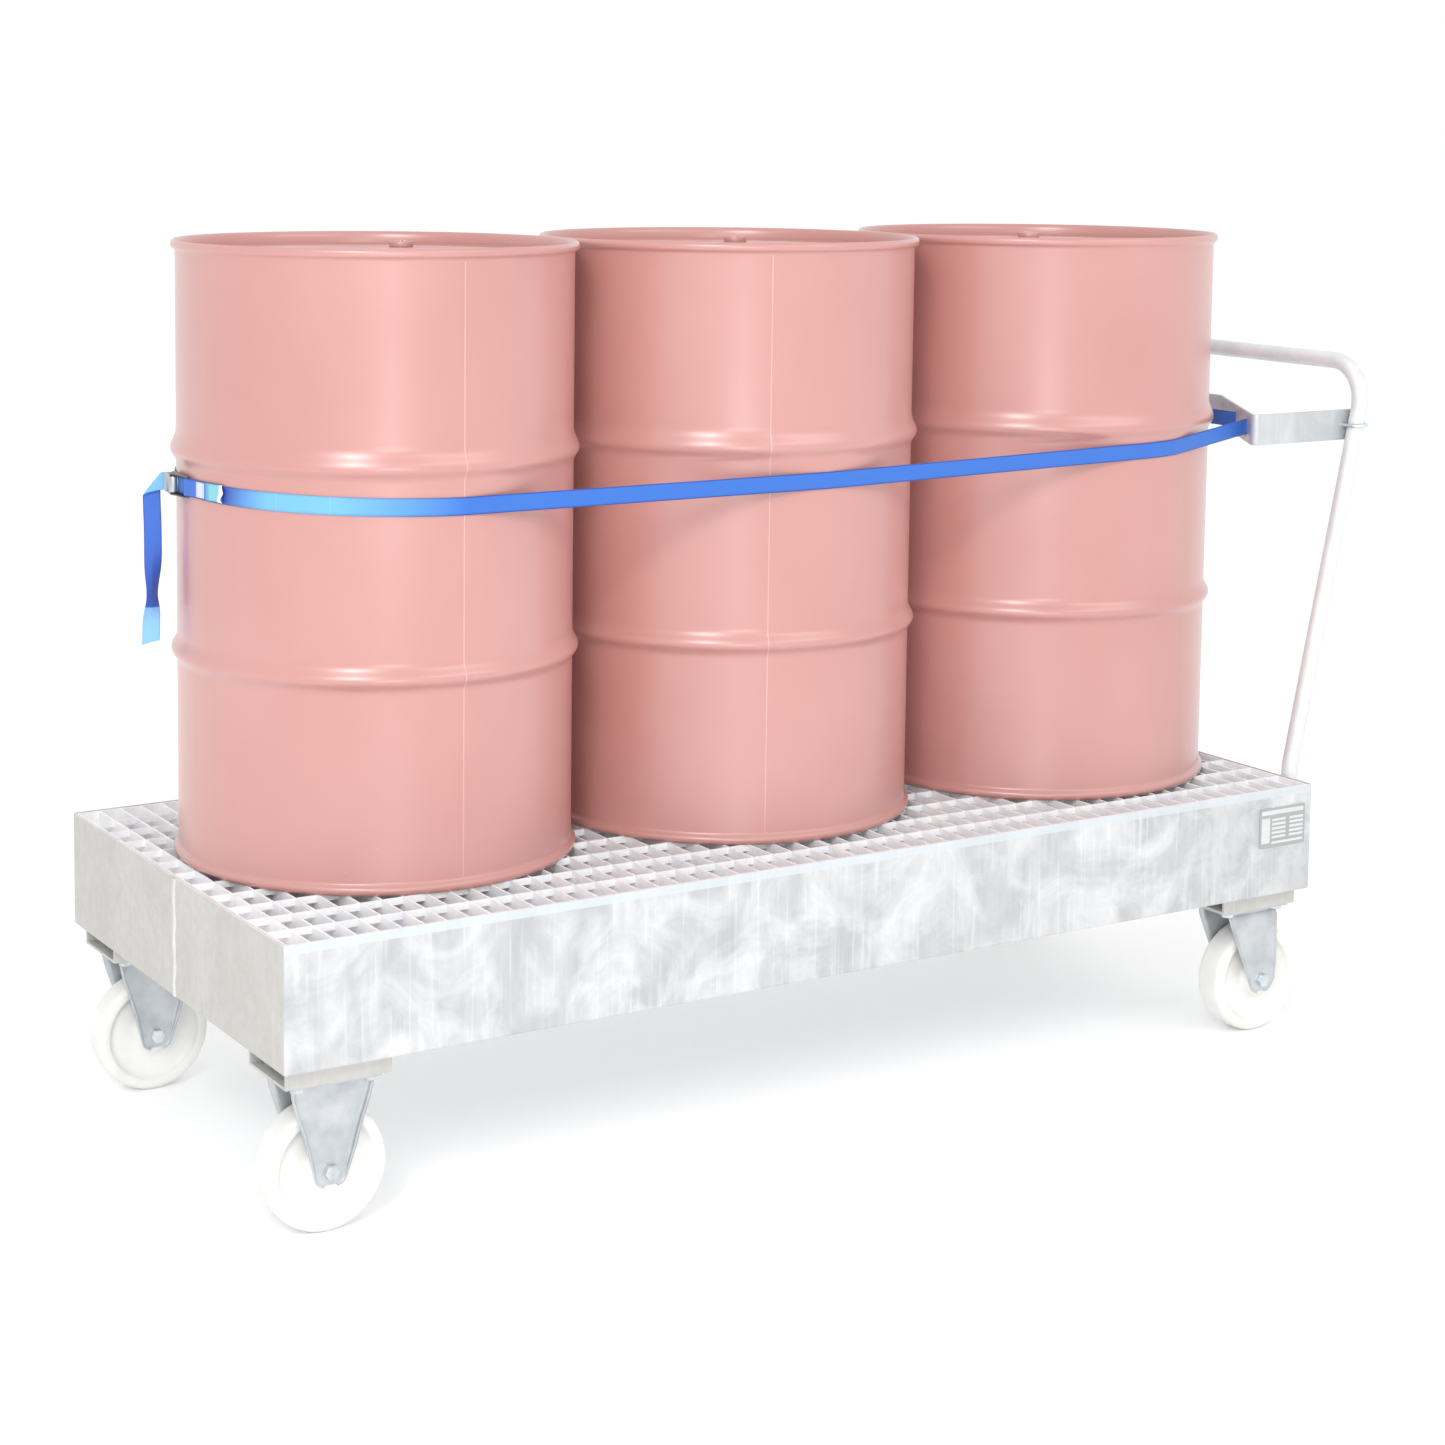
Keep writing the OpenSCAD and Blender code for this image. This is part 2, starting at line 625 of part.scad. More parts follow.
// Hexagon bolt from the left, with a nut on the right
module axle_screw() {
  color("#B9BEC2") rotate([90, 0, 0]) {
    translate([0, 0, fork_out]) hexagon(axle_bolt, head_high(axle_bolt));
    translate([0, 0, -fork_out - nut_high(axle_bolt) - 3])
      cylinder(d = axle_bolt, h = 2 * fork_out + nut_high(axle_bolt) + 3.5);
    translate([0, 0, -fork_out - nut_high(axle_bolt)]) hexagon(axle_bolt, nut_high(axle_bolt));
  }
}
module at_axle(x) { translate([x, 0, axle_level]) children(); }

// ---- Push handle ----
socket_top = rim - socket_drop;
socket_low = socket_top - socket_length;
// A bend in the XZ plane, from the +X direction towards +Z. It necks by a hair, and
// the straights lap over its ends.
bend_neck = 0.15;
lap = 1;
module bend(radius, angle, r) {
  rotate([90, 0, 0]) rotate_extrude(angle = angle, $fn = fine)
    translate([radius, 0]) circle(r = r - bend_neck);
}
module straight(r, h) {
  translate([0, 0, -lap]) cylinder(r = r, h = h + 2 * lap);
}
module handle_run(r, start) {
  set_back = bend_radius * tan(handle_lean / 2);
  low = rim + lower_bend;
  high = rim + upper_bend;
  lean_length = lean_rise / cos(handle_lean) - 2 * set_back;
  for (side = [0, 1]) mirror([0, side, 0]) translate([0, -handle_half, 0]) {
    translate([handle_x, 0, start]) cylinder(r = r, h = low - set_back - start + lap);
    translate([handle_x + bend_radius, 0, low - set_back]) mirror([1, 0, 0])
      bend(bend_radius, handle_lean, r);
    translate([handle_x, 0, low]) rotate([0, handle_lean, 0]) translate([0, 0, set_back])
      straight(r, lean_length);
    translate([bar_x - bend_radius, 0, high + set_back]) rotate([0, handle_lean, 0])
      bend(bend_radius, handle_lean, r);
    translate([bar_x, 0, high + set_back])
      straight(r, bar_height - upper_bend - corner_radius - set_back);
    translate([bar_x, corner_radius, rim + bar_height - corner_radius]) rotate([0, 0, -90])
      bend(corner_radius, 90, r);
  }
  translate([bar_x, handle_half - corner_radius, rim + bar_height]) rotate([90, 0, 0])
    straight(r, 2 * (handle_half - corner_radius));
}
socket_bolt_level = socket_top - 40;
module handle_tube() {
  tube_end = socket_low + foot_sheet + 1;
  color("#DCDEDF") difference() {
    handle_run(tube_dia / 2, tube_end);
    handle_run(tube_dia / 2 - tube_wall, tube_end - 1);
    translate([handle_x, 0, socket_bolt_level]) along_y(2 * tray_width)
      cylinder(d = handle_bolt + 0.4, h = 2 * tray_width);
  }
}
// A closed socket tube with the weld strip that joins it to the end wall
module handle_sockets() {
  bore = tube_dia / 2 + socket_play;
  color("#C9CDD0") for (side = [-1, 1]) translate([handle_x, side * handle_half, 0]) difference() {
    union() {
      translate([0, 0, socket_low]) cylinder(d = socket_dia, h = socket_length);
      translate([-socket_dia / 2, -6, socket_low]) cube([6, 12, socket_length]);
    }
    translate([0, 0, socket_low + foot_sheet]) cylinder(r = bore, h = socket_length);
    translate([0, 0, socket_bolt_level]) along_y(2 * socket_dia)
      cylinder(d = handle_bolt + 0.4, h = 2 * socket_dia);
  }
}
module socket_bolts() {
  over = socket_dia / 2;
  color("#B9BEC2") for (side = [-1, 1])
    translate([handle_x, side * handle_half, socket_bolt_level]) rotate([side * -90, 0, 0]) {
      translate([0, 0, over]) hexagon(handle_bolt, head_high(handle_bolt));
      translate([0, 0, -over - nut_high(handle_bolt) - 2])
        cylinder(d = handle_bolt, h = 2 * over + nut_high(handle_bolt) + 2.5);
      translate([0, 0, -over - nut_high(handle_bolt)]) hexagon(handle_bolt, nut_high(handle_bolt));
    }
}

// ---- Drum rest ----
arm_end = rest_tube_x + clamp_radius + 1.4 * clamp_rod;
rest_line = [[arm_end, -rest_y], [fold_x, -rest_y],
  [fold_x + vee_depth, -vee_floor], [fold_x + vee_depth, vee_floor],
  [fold_x, rest_y], [arm_end, rest_y]];
module drum_rest() {
  color("#D7DADC") translate([0, 0, rim + rest_level]) difference() {
    translate([0, 0, -rest_height / 2]) linear_extrude(rest_height)
      polygon(strip(rest_line, rest_sheet));
    for (side = [-1, 1]) {
      for (a = [slot_outer, slot_inner]) translate(on_slope(side, a, 0))
        rotate([0, 0, -side * atan2(slope_way[1], slope_way[0])])
          translate([-slot_width / 2, -rest_sheet, -slot_height / 2])
            cube([slot_width, 2 * rest_sheet, slot_height]);
      for (end = [-1, 1]) translate([rest_tube_x + end * clamp_radius, side * rest_y, 0])
        along_y(3 * rest_sheet) cylinder(d = clamp_rod + 0.4, h = 3 * rest_sheet);
    }
  }
}
// A U-bolt with its nuts: its bow lies round the origin, its legs point to +Y
module u_bolt() {
  inner_face = tube_dia / 2 + rest_sheet;
  nut = nut_high(clamp_rod);
  rotate([0, 0, 180]) rotate_extrude(angle = 180, $fn = fine)
    translate([clamp_radius, 0]) circle(d = clamp_rod);
  for (end = [-1, 1]) translate([end * clamp_radius, 0, 0]) rotate([-90, 0, 0]) {
    cylinder(d = clamp_rod, h = inner_face + nut + 2);
    translate([0, 0, inner_face]) hexagon(clamp_rod, nut);
  }
}
module rest_clamps() {
  color("#B9BEC2") for (side = [0, 1]) mirror([0, side, 0])
    translate([rest_tube_x, -handle_half, rim + rest_level]) u_bolt();
}
module type_plate() {
  color("#A9ABAB")
    translate([tray_length / 2 - type_inset - type_length, -tray_width / 2 - type_thick,
      rim - type_drop - type_height])
      cube([type_length, type_thick, type_height]);
}

// ---- Strap and cam buckle ----
// A ribbon that stands on edge along a route of [x, y, z] points
module ribbon(route, width, thick) {
  flat = [for (p = route) [p[0], p[1]]];
  n = len(route);
  corners = [for (i = [0:n - 1], c = [[1, -1], [1, 1], [-1, 1], [-1, -1]])
    let (q = mitred(flat, i, c[0] * thick / 2)) [q[0], q[1], route[i][2] + c[1] * width / 2]];
  sides = [for (i = [0:n - 2], c = [0:3])
    [4 * i + c, 4 * i + (c + 1) % 4, 4 * i + 4 + (c + 1) % 4, 4 * i + 4 + c]];
  polyhedron(corners, concat(sides, [[3, 2, 1, 0]], [[4 * n - 4, 4 * n - 3, 4 * n - 2, 4 * n - 1]]),
    convexity = 10);
}
module strap_webbing() {
  color("#3F7BE0") translate([0, 0, rim]) ribbon(webbing_route, strap_width, strap_thick);
}
// The free end: it stands out from the buckle, folds over its corner and hangs
module strap_tail() {
  half = strap_width / 2;
  color("#3F7BE0") in_buckle() translate([tail_start[0], tail_start[1], 0]) rotate([0, 0, -tail_turn])
    translate([0.2, 0, 0]) along_y(strap_thick) linear_extrude(strap_thick)
      polygon([[0, -half], [0, half], [tail_reach - strap_width, half], [tail_reach, -half],
        [tail_reach, -half - tail_hang], [tail_reach - strap_width, -half - tail_hang],
        [tail_reach - strap_width, -half]]);
}
module patch(from, length, thick, height) {
  r = flap_r + strap_thick / 2 + 0.1;
  turn = length / r * 180 / PI;
  start = buckle_angle + sewn_angle + from / r * 180 / PI;
  translate([drum_axis(-1)[0], drum_axis(-1)[1], rim + strap_at_buckle - height / 2])
    rotate([0, 0, start]) rotate_extrude(angle = turn, $fn = fine)
      translate([r, 0]) square([thick, height]);
}
module strap_label() { color("#E8ECF2") patch(30, 22, 0.4, strap_width - 3); }
module strap_tag() { color("#53B3CF") patch(56, 30, 0.6, strap_width - 1); }

module buckle_frame() {
  low = base_low;
  color("#B9BCBE") in_buckle() difference() {
    union() {
      translate([base_in, low, -cheek_in - cheek_thick])
        cube([base_thick, base_high - low, 2 * (cheek_in + cheek_thick)]);
      for (side = [-1, 1])
        translate([0, 0, side * (cheek_in + cheek_thick / 2) - cheek_thick / 2])
          linear_extrude(cheek_thick) polygon([
            [base_in, low], [base_in, base_high], [bar_out - end_bar / 2 - 0.6, bar_y + 4],
            [bar_out + end_bar / 2 + 1, bar_y + 4], [cam_x - 1, cam_y + 14], [cam_x + 4, cam_y + 5],
            [cam_x + 4, cam_y - 5], [base_out + 3, low]]);
    }
    translate([base_in - 1, window_low, -strap_width / 2 - 0.6])
      cube([base_thick + 2, base_high - window_low - 5, strap_width + 1.2]);
    translate([cam_x, cam_y, -cheek_in - 2 * cheek_thick])
      cylinder(d = cam_pin_dia, h = 2 * cheek_in + 4 * cheek_thick);
    translate([bar_out, bar_y, -cheek_in - 2 * cheek_thick])
      cylinder(d = end_bar, h = 2 * cheek_in + 4 * cheek_thick);
  }
}
module buckle_bar() {
  color("#C6C9CB") in_buckle() translate([bar_out, bar_y, -cheek_in - cheek_thick])
    cylinder(d = end_bar, h = 2 * (cheek_in + cheek_thick));
}
module cam_pin() {
  color("#C6C9CB") in_buckle() translate([cam_x, cam_y, -cheek_in - cheek_thick - 0.8])
    cylinder(d = cam_pin_dia, h = 2 * (cheek_in + cheek_thick + 0.8));
}
// Toothed cam with its thumb lever, lying over the free end's way out
module cam_lever() {
  teeth = 5;
  color("#B4B7B9") in_buckle() difference() {
    union() {
      translate([cam_x, cam_y, -cam_half]) linear_extrude(2 * cam_half) {
        circle(r = cam_radius - 0.9);
        for (k = [0:teeth - 1]) rotate(180 + 12 * (k - (teeth - 1) / 2))
          polygon([[0, -1.2], [cam_radius, 0], [0, 1.2]]);
      }
      translate([0, 0, -cheek_in + 0.4]) linear_extrude(2 * cheek_in - 0.8) polygon([
        [cam_x + 3.2, cam_y + 1], [cam_x + cam_radius - 1.6, cam_y + 2], [cam_x + cam_radius - 1, cam_y],
        [cam_x + 4.2, cam_y - lever_length + 4], [cam_x + 6.5, cam_y - lever_length],
        [cam_x + 5, cam_y - lever_length], [cam_x + 2.4, cam_y - lever_length + 4],
        [cam_x + 3.6, cam_y - 2]]);
    }
    translate([cam_x, cam_y, -cheek_in]) cylinder(r = cam_pin_dia / 2 + running_fit, h = 2 * cheek_in);
  }
}
// Torsion spring: two coils on the pin, one at each end of the cam
module cam_spring() {
  wire = 0.8;
  color("#9DA1A4") in_buckle() for (side = [-1, 1], k = [0, 1])
    translate([cam_x, cam_y, side * (cam_half + 0.6 + k * 0.9)])
      rotate_extrude() translate([cam_pin_dia / 2 + 0.2 + wire / 2, 0]) circle(d = wire, $fn = 16);
}

// ---- Drums ----
// Swell of a rolling hoop at height z, from 0 to 1
function swell(z, level) = abs(z - level) >= hoop_height / 2 ? 0 : (1 + cos(360 * (z - level) / hoop_height)) / 2;
function hoop_side(level) = [for (k = [0:10]) let (z = level + hoop_height * (k / 10 - 0.5))
  [drum_radius + (hoop_radius - drum_radius) * swell(z, level), z]];
rim_swell = rim_radius - drum_radius;
drum_side = concat(
  [[rim_radius - 2.5, 0], [rim_radius, 2.5], [rim_radius, rim_height - 2.5], [rim_radius - 2.5, rim_height],
    [drum_radius, rim_height + 3]],
  hoop_side(hoop_low), hoop_side(hoop_high),
  [[drum_radius, drum_height - rim_height - 3], [rim_radius - 2.5, drum_height - rim_height],
    [rim_radius, drum_height - rim_height + 2.5], [rim_radius, drum_height - 2.5],
    [rim_radius - 2.5, drum_height]]);
shell_in = drum_radius - drum_sheet;
module drum_shell() {
  color("#E5A8A3") rotate_extrude($fn = fine) difference() {
    polygon(concat(drum_side, [[shell_in, drum_height], [shell_in, 0]]));
    translate([0, head_drop]) polygon(concat(
      [[shell_in - 1, 0], [shell_in, 0]],
      [for (z = [hoop_low, hoop_high]) for (p = hoop_side(z)) [p[0] - drum_sheet, p[1] - head_drop]],
      [[shell_in, drum_height - 2 * head_drop], [shell_in - 1, drum_height - 2 * head_drop]]));
  }
}
// Heads are dished plates that close the shell just inside its rims
bung_radius = drum_radius - 75;
big_bung = 35;
small_bung = 18;
module drum_head() {
  rotate_extrude($fn = fine) polygon([[0, -drum_sheet], [shell_in - 14, -drum_sheet],
    [shell_in - 8, 0.5], [shell_in, 0.5], [shell_in, 3], [shell_in - 9, 3], [shell_in - 15, 0], [0, 0]]);
}
module drum_heads() {
  color("#E0A29D") {
    difference() {
      translate([0, 0, drum_height - head_drop]) drum_head();
      translate([0, -bung_radius, drum_height - head_drop - 5]) cylinder(r = big_bung - 6, h = 10);
      translate([0, bung_radius, drum_height - head_drop - 5]) cylinder(r = small_bung - 4, h = 10);
    }
    translate([0, 0, head_drop]) mirror([0, 0, 1]) drum_head();
  }
}
module bung(radius, neck) {
  translate([0, 0, drum_height - head_drop]) {
    cylinder(r = radius, h = 8);
    translate([0, 0, -12]) cylinder(r = neck, h = 12.5);
    for (a = [0, 90]) rotate([0, 0, a]) translate([-radius / 2, -2.5, 8]) cube([radius, 5, 2.5]);
  }
}
module drum_bungs() {
  color("#CFC9C4") {
    translate([0, -bung_radius, 0]) bung(big_bung, big_bung - 6);
    translate([0, bung_radius, 0]) bung(small_bung, small_bung - 4);
  }
}
bung_turn = -36;

placed() sump_tray();
placed() side_walls();
placed() end_walls();
placed() grating(-1);  // grating_front
placed() grating(1);  // grating_rear
placed() grating_ledges();
placed() centre_beams();
placed() at_front(-1) foot();  // foot_front_left
placed() at_front(1) foot();  // foot_front_right
placed() at_rear(-1) foot();  // foot_rear_left
placed() at_rear(1) foot();  // foot_rear_right
placed() at_front(-1) fixed_fork();  // fixed_fork_left
placed() at_front(1) fixed_fork();  // fixed_fork_right
placed() at_rear(-1) swivel_plate();  // swivel_plate_left
placed() at_rear(1) swivel_plate();  // swivel_plate_right
placed() at_rear(-1) ball_race();  // ball_race_left
placed() at_rear(1) ball_race();  // ball_race_right
placed() at_rear(-1) kingpin();  // kingpin_left
placed() at_rear(1) kingpin();  // kingpin_right
placed() at_rear(-1) swivel_fork();  // swivel_fork_left
placed() at_rear(1) swivel_fork();  // swivel_fork_right
placed() at_front(-1) at_axle(0) wheel();  // wheel_front_left
placed() at_front(1) at_axle(0) wheel();  // wheel_front_right
placed() at_rear(-1) at_axle(trail) wheel();  // wheel_rear_left
placed() at_rear(1) at_axle(trail) wheel();  // wheel_rear_right
placed() at_front(-1) at_axle(0) axle_tube();  // axle_tube_front_left
placed() at_front(1) at_axle(0) axle_tube();  // axle_tube_front_right
placed() at_rear(-1) at_axle(trail) axle_tube();  // axle_tube_rear_left
placed() at_rear(1) at_axle(trail) axle_tube();  // axle_tube_rear_right
placed() at_front(-1) at_axle(0) axle_screw();  // axle_bolt_front_left
placed() at_front(1) at_axle(0) axle_screw();  // axle_bolt_front_right
placed() at_rear(-1) at_axle(trail) axle_screw();  // axle_bolt_rear_left
placed() at_rear(1) at_axle(trail) axle_screw();  // axle_bolt_rear_right
placed() castor_bolts();
placed() castor_nuts();
placed() handle_tube();
placed() handle_sockets();
placed() socket_bolts();
placed() drum_rest();
placed() rest_clamps();
placed() type_plate();
placed() strap_webbing();
placed() strap_tail();
placed() strap_label();
placed() strap_tag();
placed() buckle_frame();
placed() buckle_bar();
placed() cam_lever();
placed() cam_pin();
placed() cam_spring();
placed() at_drum(-1) drum_shell();  // drum_front_shell
placed() at_drum(0) drum_shell();  // drum_middle_shell
placed() at_drum(1) drum_shell();  // drum_rear_shell
placed() at_drum(-1) rotate([0, 0, bung_turn]) drum_heads();  // drum_front_heads
placed() at_drum(0) rotate([0, 0, bung_turn]) drum_heads();  // drum_middle_heads
placed() at_drum(1) rotate([0, 0, bung_turn]) drum_heads();  // drum_rear_heads
placed() at_drum(-1) rotate([0, 0, bung_turn]) drum_bungs();  // drum_front_bungs
placed() at_drum(0) rotate([0, 0, bung_turn]) drum_bungs();  // drum_middle_bungs
placed() at_drum(1) rotate([0, 0, bung_turn]) drum_bungs();  // drum_rear_bungs
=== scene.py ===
import math
import bpy
import bmesh
from mathutils import Matrix, Vector


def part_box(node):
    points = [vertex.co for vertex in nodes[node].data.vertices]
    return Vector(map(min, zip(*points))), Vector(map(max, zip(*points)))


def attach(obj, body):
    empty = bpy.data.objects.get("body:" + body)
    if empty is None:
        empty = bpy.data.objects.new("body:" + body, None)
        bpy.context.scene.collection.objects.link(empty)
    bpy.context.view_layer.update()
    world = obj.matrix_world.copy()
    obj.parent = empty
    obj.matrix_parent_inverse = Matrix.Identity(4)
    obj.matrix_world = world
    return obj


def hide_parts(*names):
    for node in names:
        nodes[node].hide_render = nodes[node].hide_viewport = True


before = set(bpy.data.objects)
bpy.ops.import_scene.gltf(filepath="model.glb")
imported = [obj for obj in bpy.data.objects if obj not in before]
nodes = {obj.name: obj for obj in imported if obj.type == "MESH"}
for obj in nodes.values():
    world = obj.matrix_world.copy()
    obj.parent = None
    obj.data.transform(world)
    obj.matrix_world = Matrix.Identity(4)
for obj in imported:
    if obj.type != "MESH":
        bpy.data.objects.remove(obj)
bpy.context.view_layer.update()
mm = 0.001
zAxis = Vector((0, 0, 1))


def linear(hexColour):
    parts = [int(hexColour[i:i + 2], 16) / 255 for i in (1, 3, 5)]
    return [c / 12.92 if c <= 0.04045 else ((c + 0.055) / 1.055) ** 2.4 for c in parts] + [1.0]


# One node with its settings, its socket values or links, and its ramp stops
def addNode(tree, kind, settings=None, sockets=None, stops=None):
    node = tree.nodes.new("ShaderNode" + kind)
    for name, value in (settings or {}).items():
        setattr(node, name, value)
    for name, value in (sockets or {}).items():
        if isinstance(value, bpy.types.NodeSocket):
            tree.links.new(value, node.inputs[name])
        else:
            node.inputs[name].default_value = value
    if stops:
        elements = node.color_ramp.elements
        while len(elements) < len(stops):
            elements.new(0.5)
        for element, (place, colour) in zip(elements, stops):
            element.position = place
            element.color = linear(colour) if isinstance(colour, str) else [colour] * 3 + [1.0]
    return node


# A material with an empty tree, its shader and the Object coordinates in metres
def startMaterial(name, shader):
    material = bpy.data.materials.new(name)
    material.use_nodes = True
    tree = material.node_tree
    tree.nodes.clear()
    surface = addNode(tree, "BsdfPrincipled", sockets=shader)
    addNode(tree, "OutputMaterial", sockets={"Surface": surface.outputs["BSDF"]})
    place = addNode(tree, "TexCoord").outputs["Object"]
    return material, tree, surface, place


def mixColours(tree, share, low, high, blend="MIX"):
    node = addNode(tree, "Mix", {"data_type": "RGBA", "blend_type": blend}, {0: share, 6: low, 7: high})
    return node.outputs[2]


# Hot-dip galvanised steel: soft grey, faint spangle, cloudy runs down the sheet. Under a rim given in
# metres the zinc is paler and bluer for 12 mm, where the bath drained over the edge
def galvanisedSteel(name, light, dark, run=0.25, rough=(0.42, 0.6), metallic=0.75, streak=1.0, rimAt=None):
    material, tree, surface, place = startMaterial(name, {"Metallic": metallic})
    # the zinc's runs are 20 to 60 mm wide and several times as long
    stretched = addNode(tree, "Mapping", sockets={"Vector": place, "Scale": (24, 24, 5)})
    runs = addNode(tree, "TexNoise", sockets={"Vector": stretched.outputs[0], "Scale": 1.0, "Detail": 4.0,
                                              "Roughness": 0.55, "Distortion": 0.6})
    lines = addNode(tree, "Mapping", sockets={"Vector": place, "Scale": (160, 160, 6)})
    fineRuns = addNode(tree, "TexNoise", sockets={"Vector": lines.outputs[0], "Scale": 1.0, "Detail": 3.0})
    clouds = addNode(tree, "TexNoise", sockets={"Vector": place, "Scale": 9.0, "Detail": 5.0,
        "Roughness": 0.6, "Distortion": 1.2})
    # spangle cells of about 9 mm
    spangle = addNode(tree, "TexVoronoi", sockets={"Vector": place, "Scale": 110.0, "Randomness": 1.0})
    cells = addNode(tree, "SeparateColor", sockets={"Color": spangle.outputs["Color"]})
    ramp = addNode(tree, "ValToRGB", sockets={"Fac": runs.outputs["Fac"]},
                   stops=[(0.5 - 0.15 / streak, dark), (0.5 + 0.15 / streak, light)])
    patch = addNode(tree, "MapRange", sockets={"Value": clouds.outputs["Fac"], "From Min": 0.42,
        "From Max": 0.68, "To Min": 0.0, "To Max": run})
    clouded = mixColours(tree, patch.outputs[0], ramp.outputs["Color"], linear("#F6F7F8"))
    thin = addNode(tree, "MapRange", sockets={"Value": fineRuns.outputs["Fac"], "From Min": 0.55,
        "From Max": 0.75, "To Min": 0.0, "To Max": 0.35 * streak})
    lined = mixColours(tree, thin.outputs[0], clouded, linear("#FBFBFC"))
    speck = addNode(tree, "MapRange", sockets={"Value": cells.outputs[0], "To Min": 0.0, "To Max": 0.08})
    colour = mixColours(tree, speck.outputs[0], lined, linear("#AEB3B6"))
    if rimAt:
        height = addNode(tree, "SeparateXYZ", sockets={"Vector": place})
        band = addNode(tree, "MapRange", sockets={"Value": height.outputs[2], "From Min": rimAt - 13 * mm,
            "From Max": rimAt - 11.5 * mm, "To Min": 0.0, "To Max": 0.75})
        colour = mixColours(tree, band.outputs[0], colour, linear("#D3DCE0"))
    tree.links.new(colour, surface.inputs["Base Color"])
    sheen = addNode(tree, "MapRange", sockets={"Value": cells.outputs[1], "To Min": rough[0],
        "To Max": rough[1]})
    tree.links.new(sheen.outputs[0], surface.inputs["Roughness"])
    grain = addNode(tree, "TexNoise", sockets={"Vector": place, "Scale": 400.0, "Detail": 2.0})
    fine = addNode(tree, "Bump", sockets={"Height": grain.outputs["Fac"], "Strength": 0.12,
        "Distance": 0.4 * mm})
    wavy = addNode(tree, "Bump", sockets={"Height": runs.outputs["Fac"], "Strength": 0.25 * streak,
                                          "Distance": 1.2 * mm, "Normal": fine.outputs[0]})
    tree.links.new(wavy.outputs[0], surface.inputs["Normal"])
    return material


# Zinc-plated pressed steel: brighter and smoother, with a faint blue cast
def zincPlated(name, light, dark, rough=0.32, metallic=0.85):
    material, tree, surface, place = startMaterial(name, {"Metallic": metallic})
    clouds = addNode(tree, "TexNoise", sockets={"Vector": place, "Scale": 30.0, "Detail": 3.0})
    ramp = addNode(tree, "ValToRGB", sockets={"Fac": clouds.outputs["Fac"]},
        stops=[(0.35, dark), (0.65, light)])
    tree.links.new(ramp.outputs["Color"], surface.inputs["Base Color"])
    sheen = addNode(tree, "MapRange", sockets={"Value": clouds.outputs["Fac"], "To Min": rough - 0.08,
                                               "To Max": rough + 0.14})
    tree.links.new(sheen.outputs[0], surface.inputs["Roughness"])
    grain = addNode(tree, "TexNoise", sockets={"Vector": place, "Scale": 900.0, "Detail": 1.0})
    bump = addNode(tree, "Bump", sockets={"Height": grain.outputs["Fac"], "Strength": 0.08,
        "Distance": 0.2 * mm})
    tree.links.new(bump.outputs[0], surface.inputs["Normal"])
    return material


# Stoved enamel on drum steel: glossy, slightly wavy, with a few scuffs
def drumEnamel(name, base):
    material, tree, surface, place = startMaterial(name,
        {"Roughness": 0.42, "IOR": 1.52, "Specular IOR Level": 0.3, "Coat Weight": 1.0, "Coat IOR": 1.68,
        "Coat Roughness": 0.28})
    clouds = addNode(tree, "TexNoise", sockets={"Vector": place, "Scale": 3.5, "Detail": 3.0})
    tone = addNode(tree, "ValToRGB", sockets={"Fac": clouds.outputs["Fac"]},
                   stops=[(0.3, base["dark"]), (0.7, base["light"])])
    # scuffs are a few millimetres across and 10 to 30 mm long
    along = addNode(tree, "Mapping", sockets={"Vector": place, "Scale": (18, 18, 60),
        "Rotation": (0.3, 0.2, 0)})
    scuffs = addNode(tree, "TexNoise", sockets={"Vector": along.outputs[0], "Scale": 2.2, "Detail": 6.0,
                                                "Roughness": 0.75})
    worn = addNode(tree, "MapRange", sockets={"Value": scuffs.outputs["Fac"], "From Min": 0.70,
        "From Max": 0.76, "To Min": 0.0, "To Max": 0.55})
    colour = mixColours(tree, worn.outputs[0], tone.outputs["Color"], linear(base["scuff"]))
    tree.links.new(colour, surface.inputs["Base Color"])
    peel = addNode(tree, "TexNoise", sockets={"Vector": place, "Scale": 350.0, "Detail": 1.0})
    skin = addNode(tree, "Bump", sockets={"Height": peel.outputs["Fac"], "Strength": 0.05,
        "Distance": 0.3 * mm})
    waves = addNode(tree, "TexNoise", sockets={"Vector": place, "Scale": 7.0, "Detail": 1.0})
    sheet = addNode(tree, "Bump", sockets={"Height": waves.outputs["Fac"], "Strength": 0.25,
        "Distance": 2 * mm, "Normal": skin.outputs[0]})
    tree.links.new(sheet.outputs[0], surface.inputs["Normal"])
    return material


# Cast polyamide: warm white, satin, a little light passes under its skin
def castPolyamide(name):
    material, tree, surface, place = startMaterial(name,
        {"Roughness": 0.42, "IOR": 1.53, "Subsurface Weight": 0.15, "Subsurface Scale": 4 * mm})
    clouds = addNode(tree, "TexNoise", sockets={"Vector": place, "Scale": 25.0, "Detail": 3.0})
    tone = addNode(tree, "ValToRGB", sockets={"Fac": clouds.outputs["Fac"]},
        stops=[(0.3, "#E2E2DE"), (0.7, "#ECECE9")])
    tree.links.new(tone.outputs["Color"], surface.inputs["Base Color"])
    grain = addNode(tree, "TexNoise", sockets={"Vector": place, "Scale": 700.0, "Detail": 2.0})
    bump = addNode(tree, "Bump", sockets={"Height": grain.outputs["Fac"], "Strength": 0.1,
        "Distance": 0.3 * mm})
    tree.links.new(bump.outputs[0], surface.inputs["Normal"])
    return material


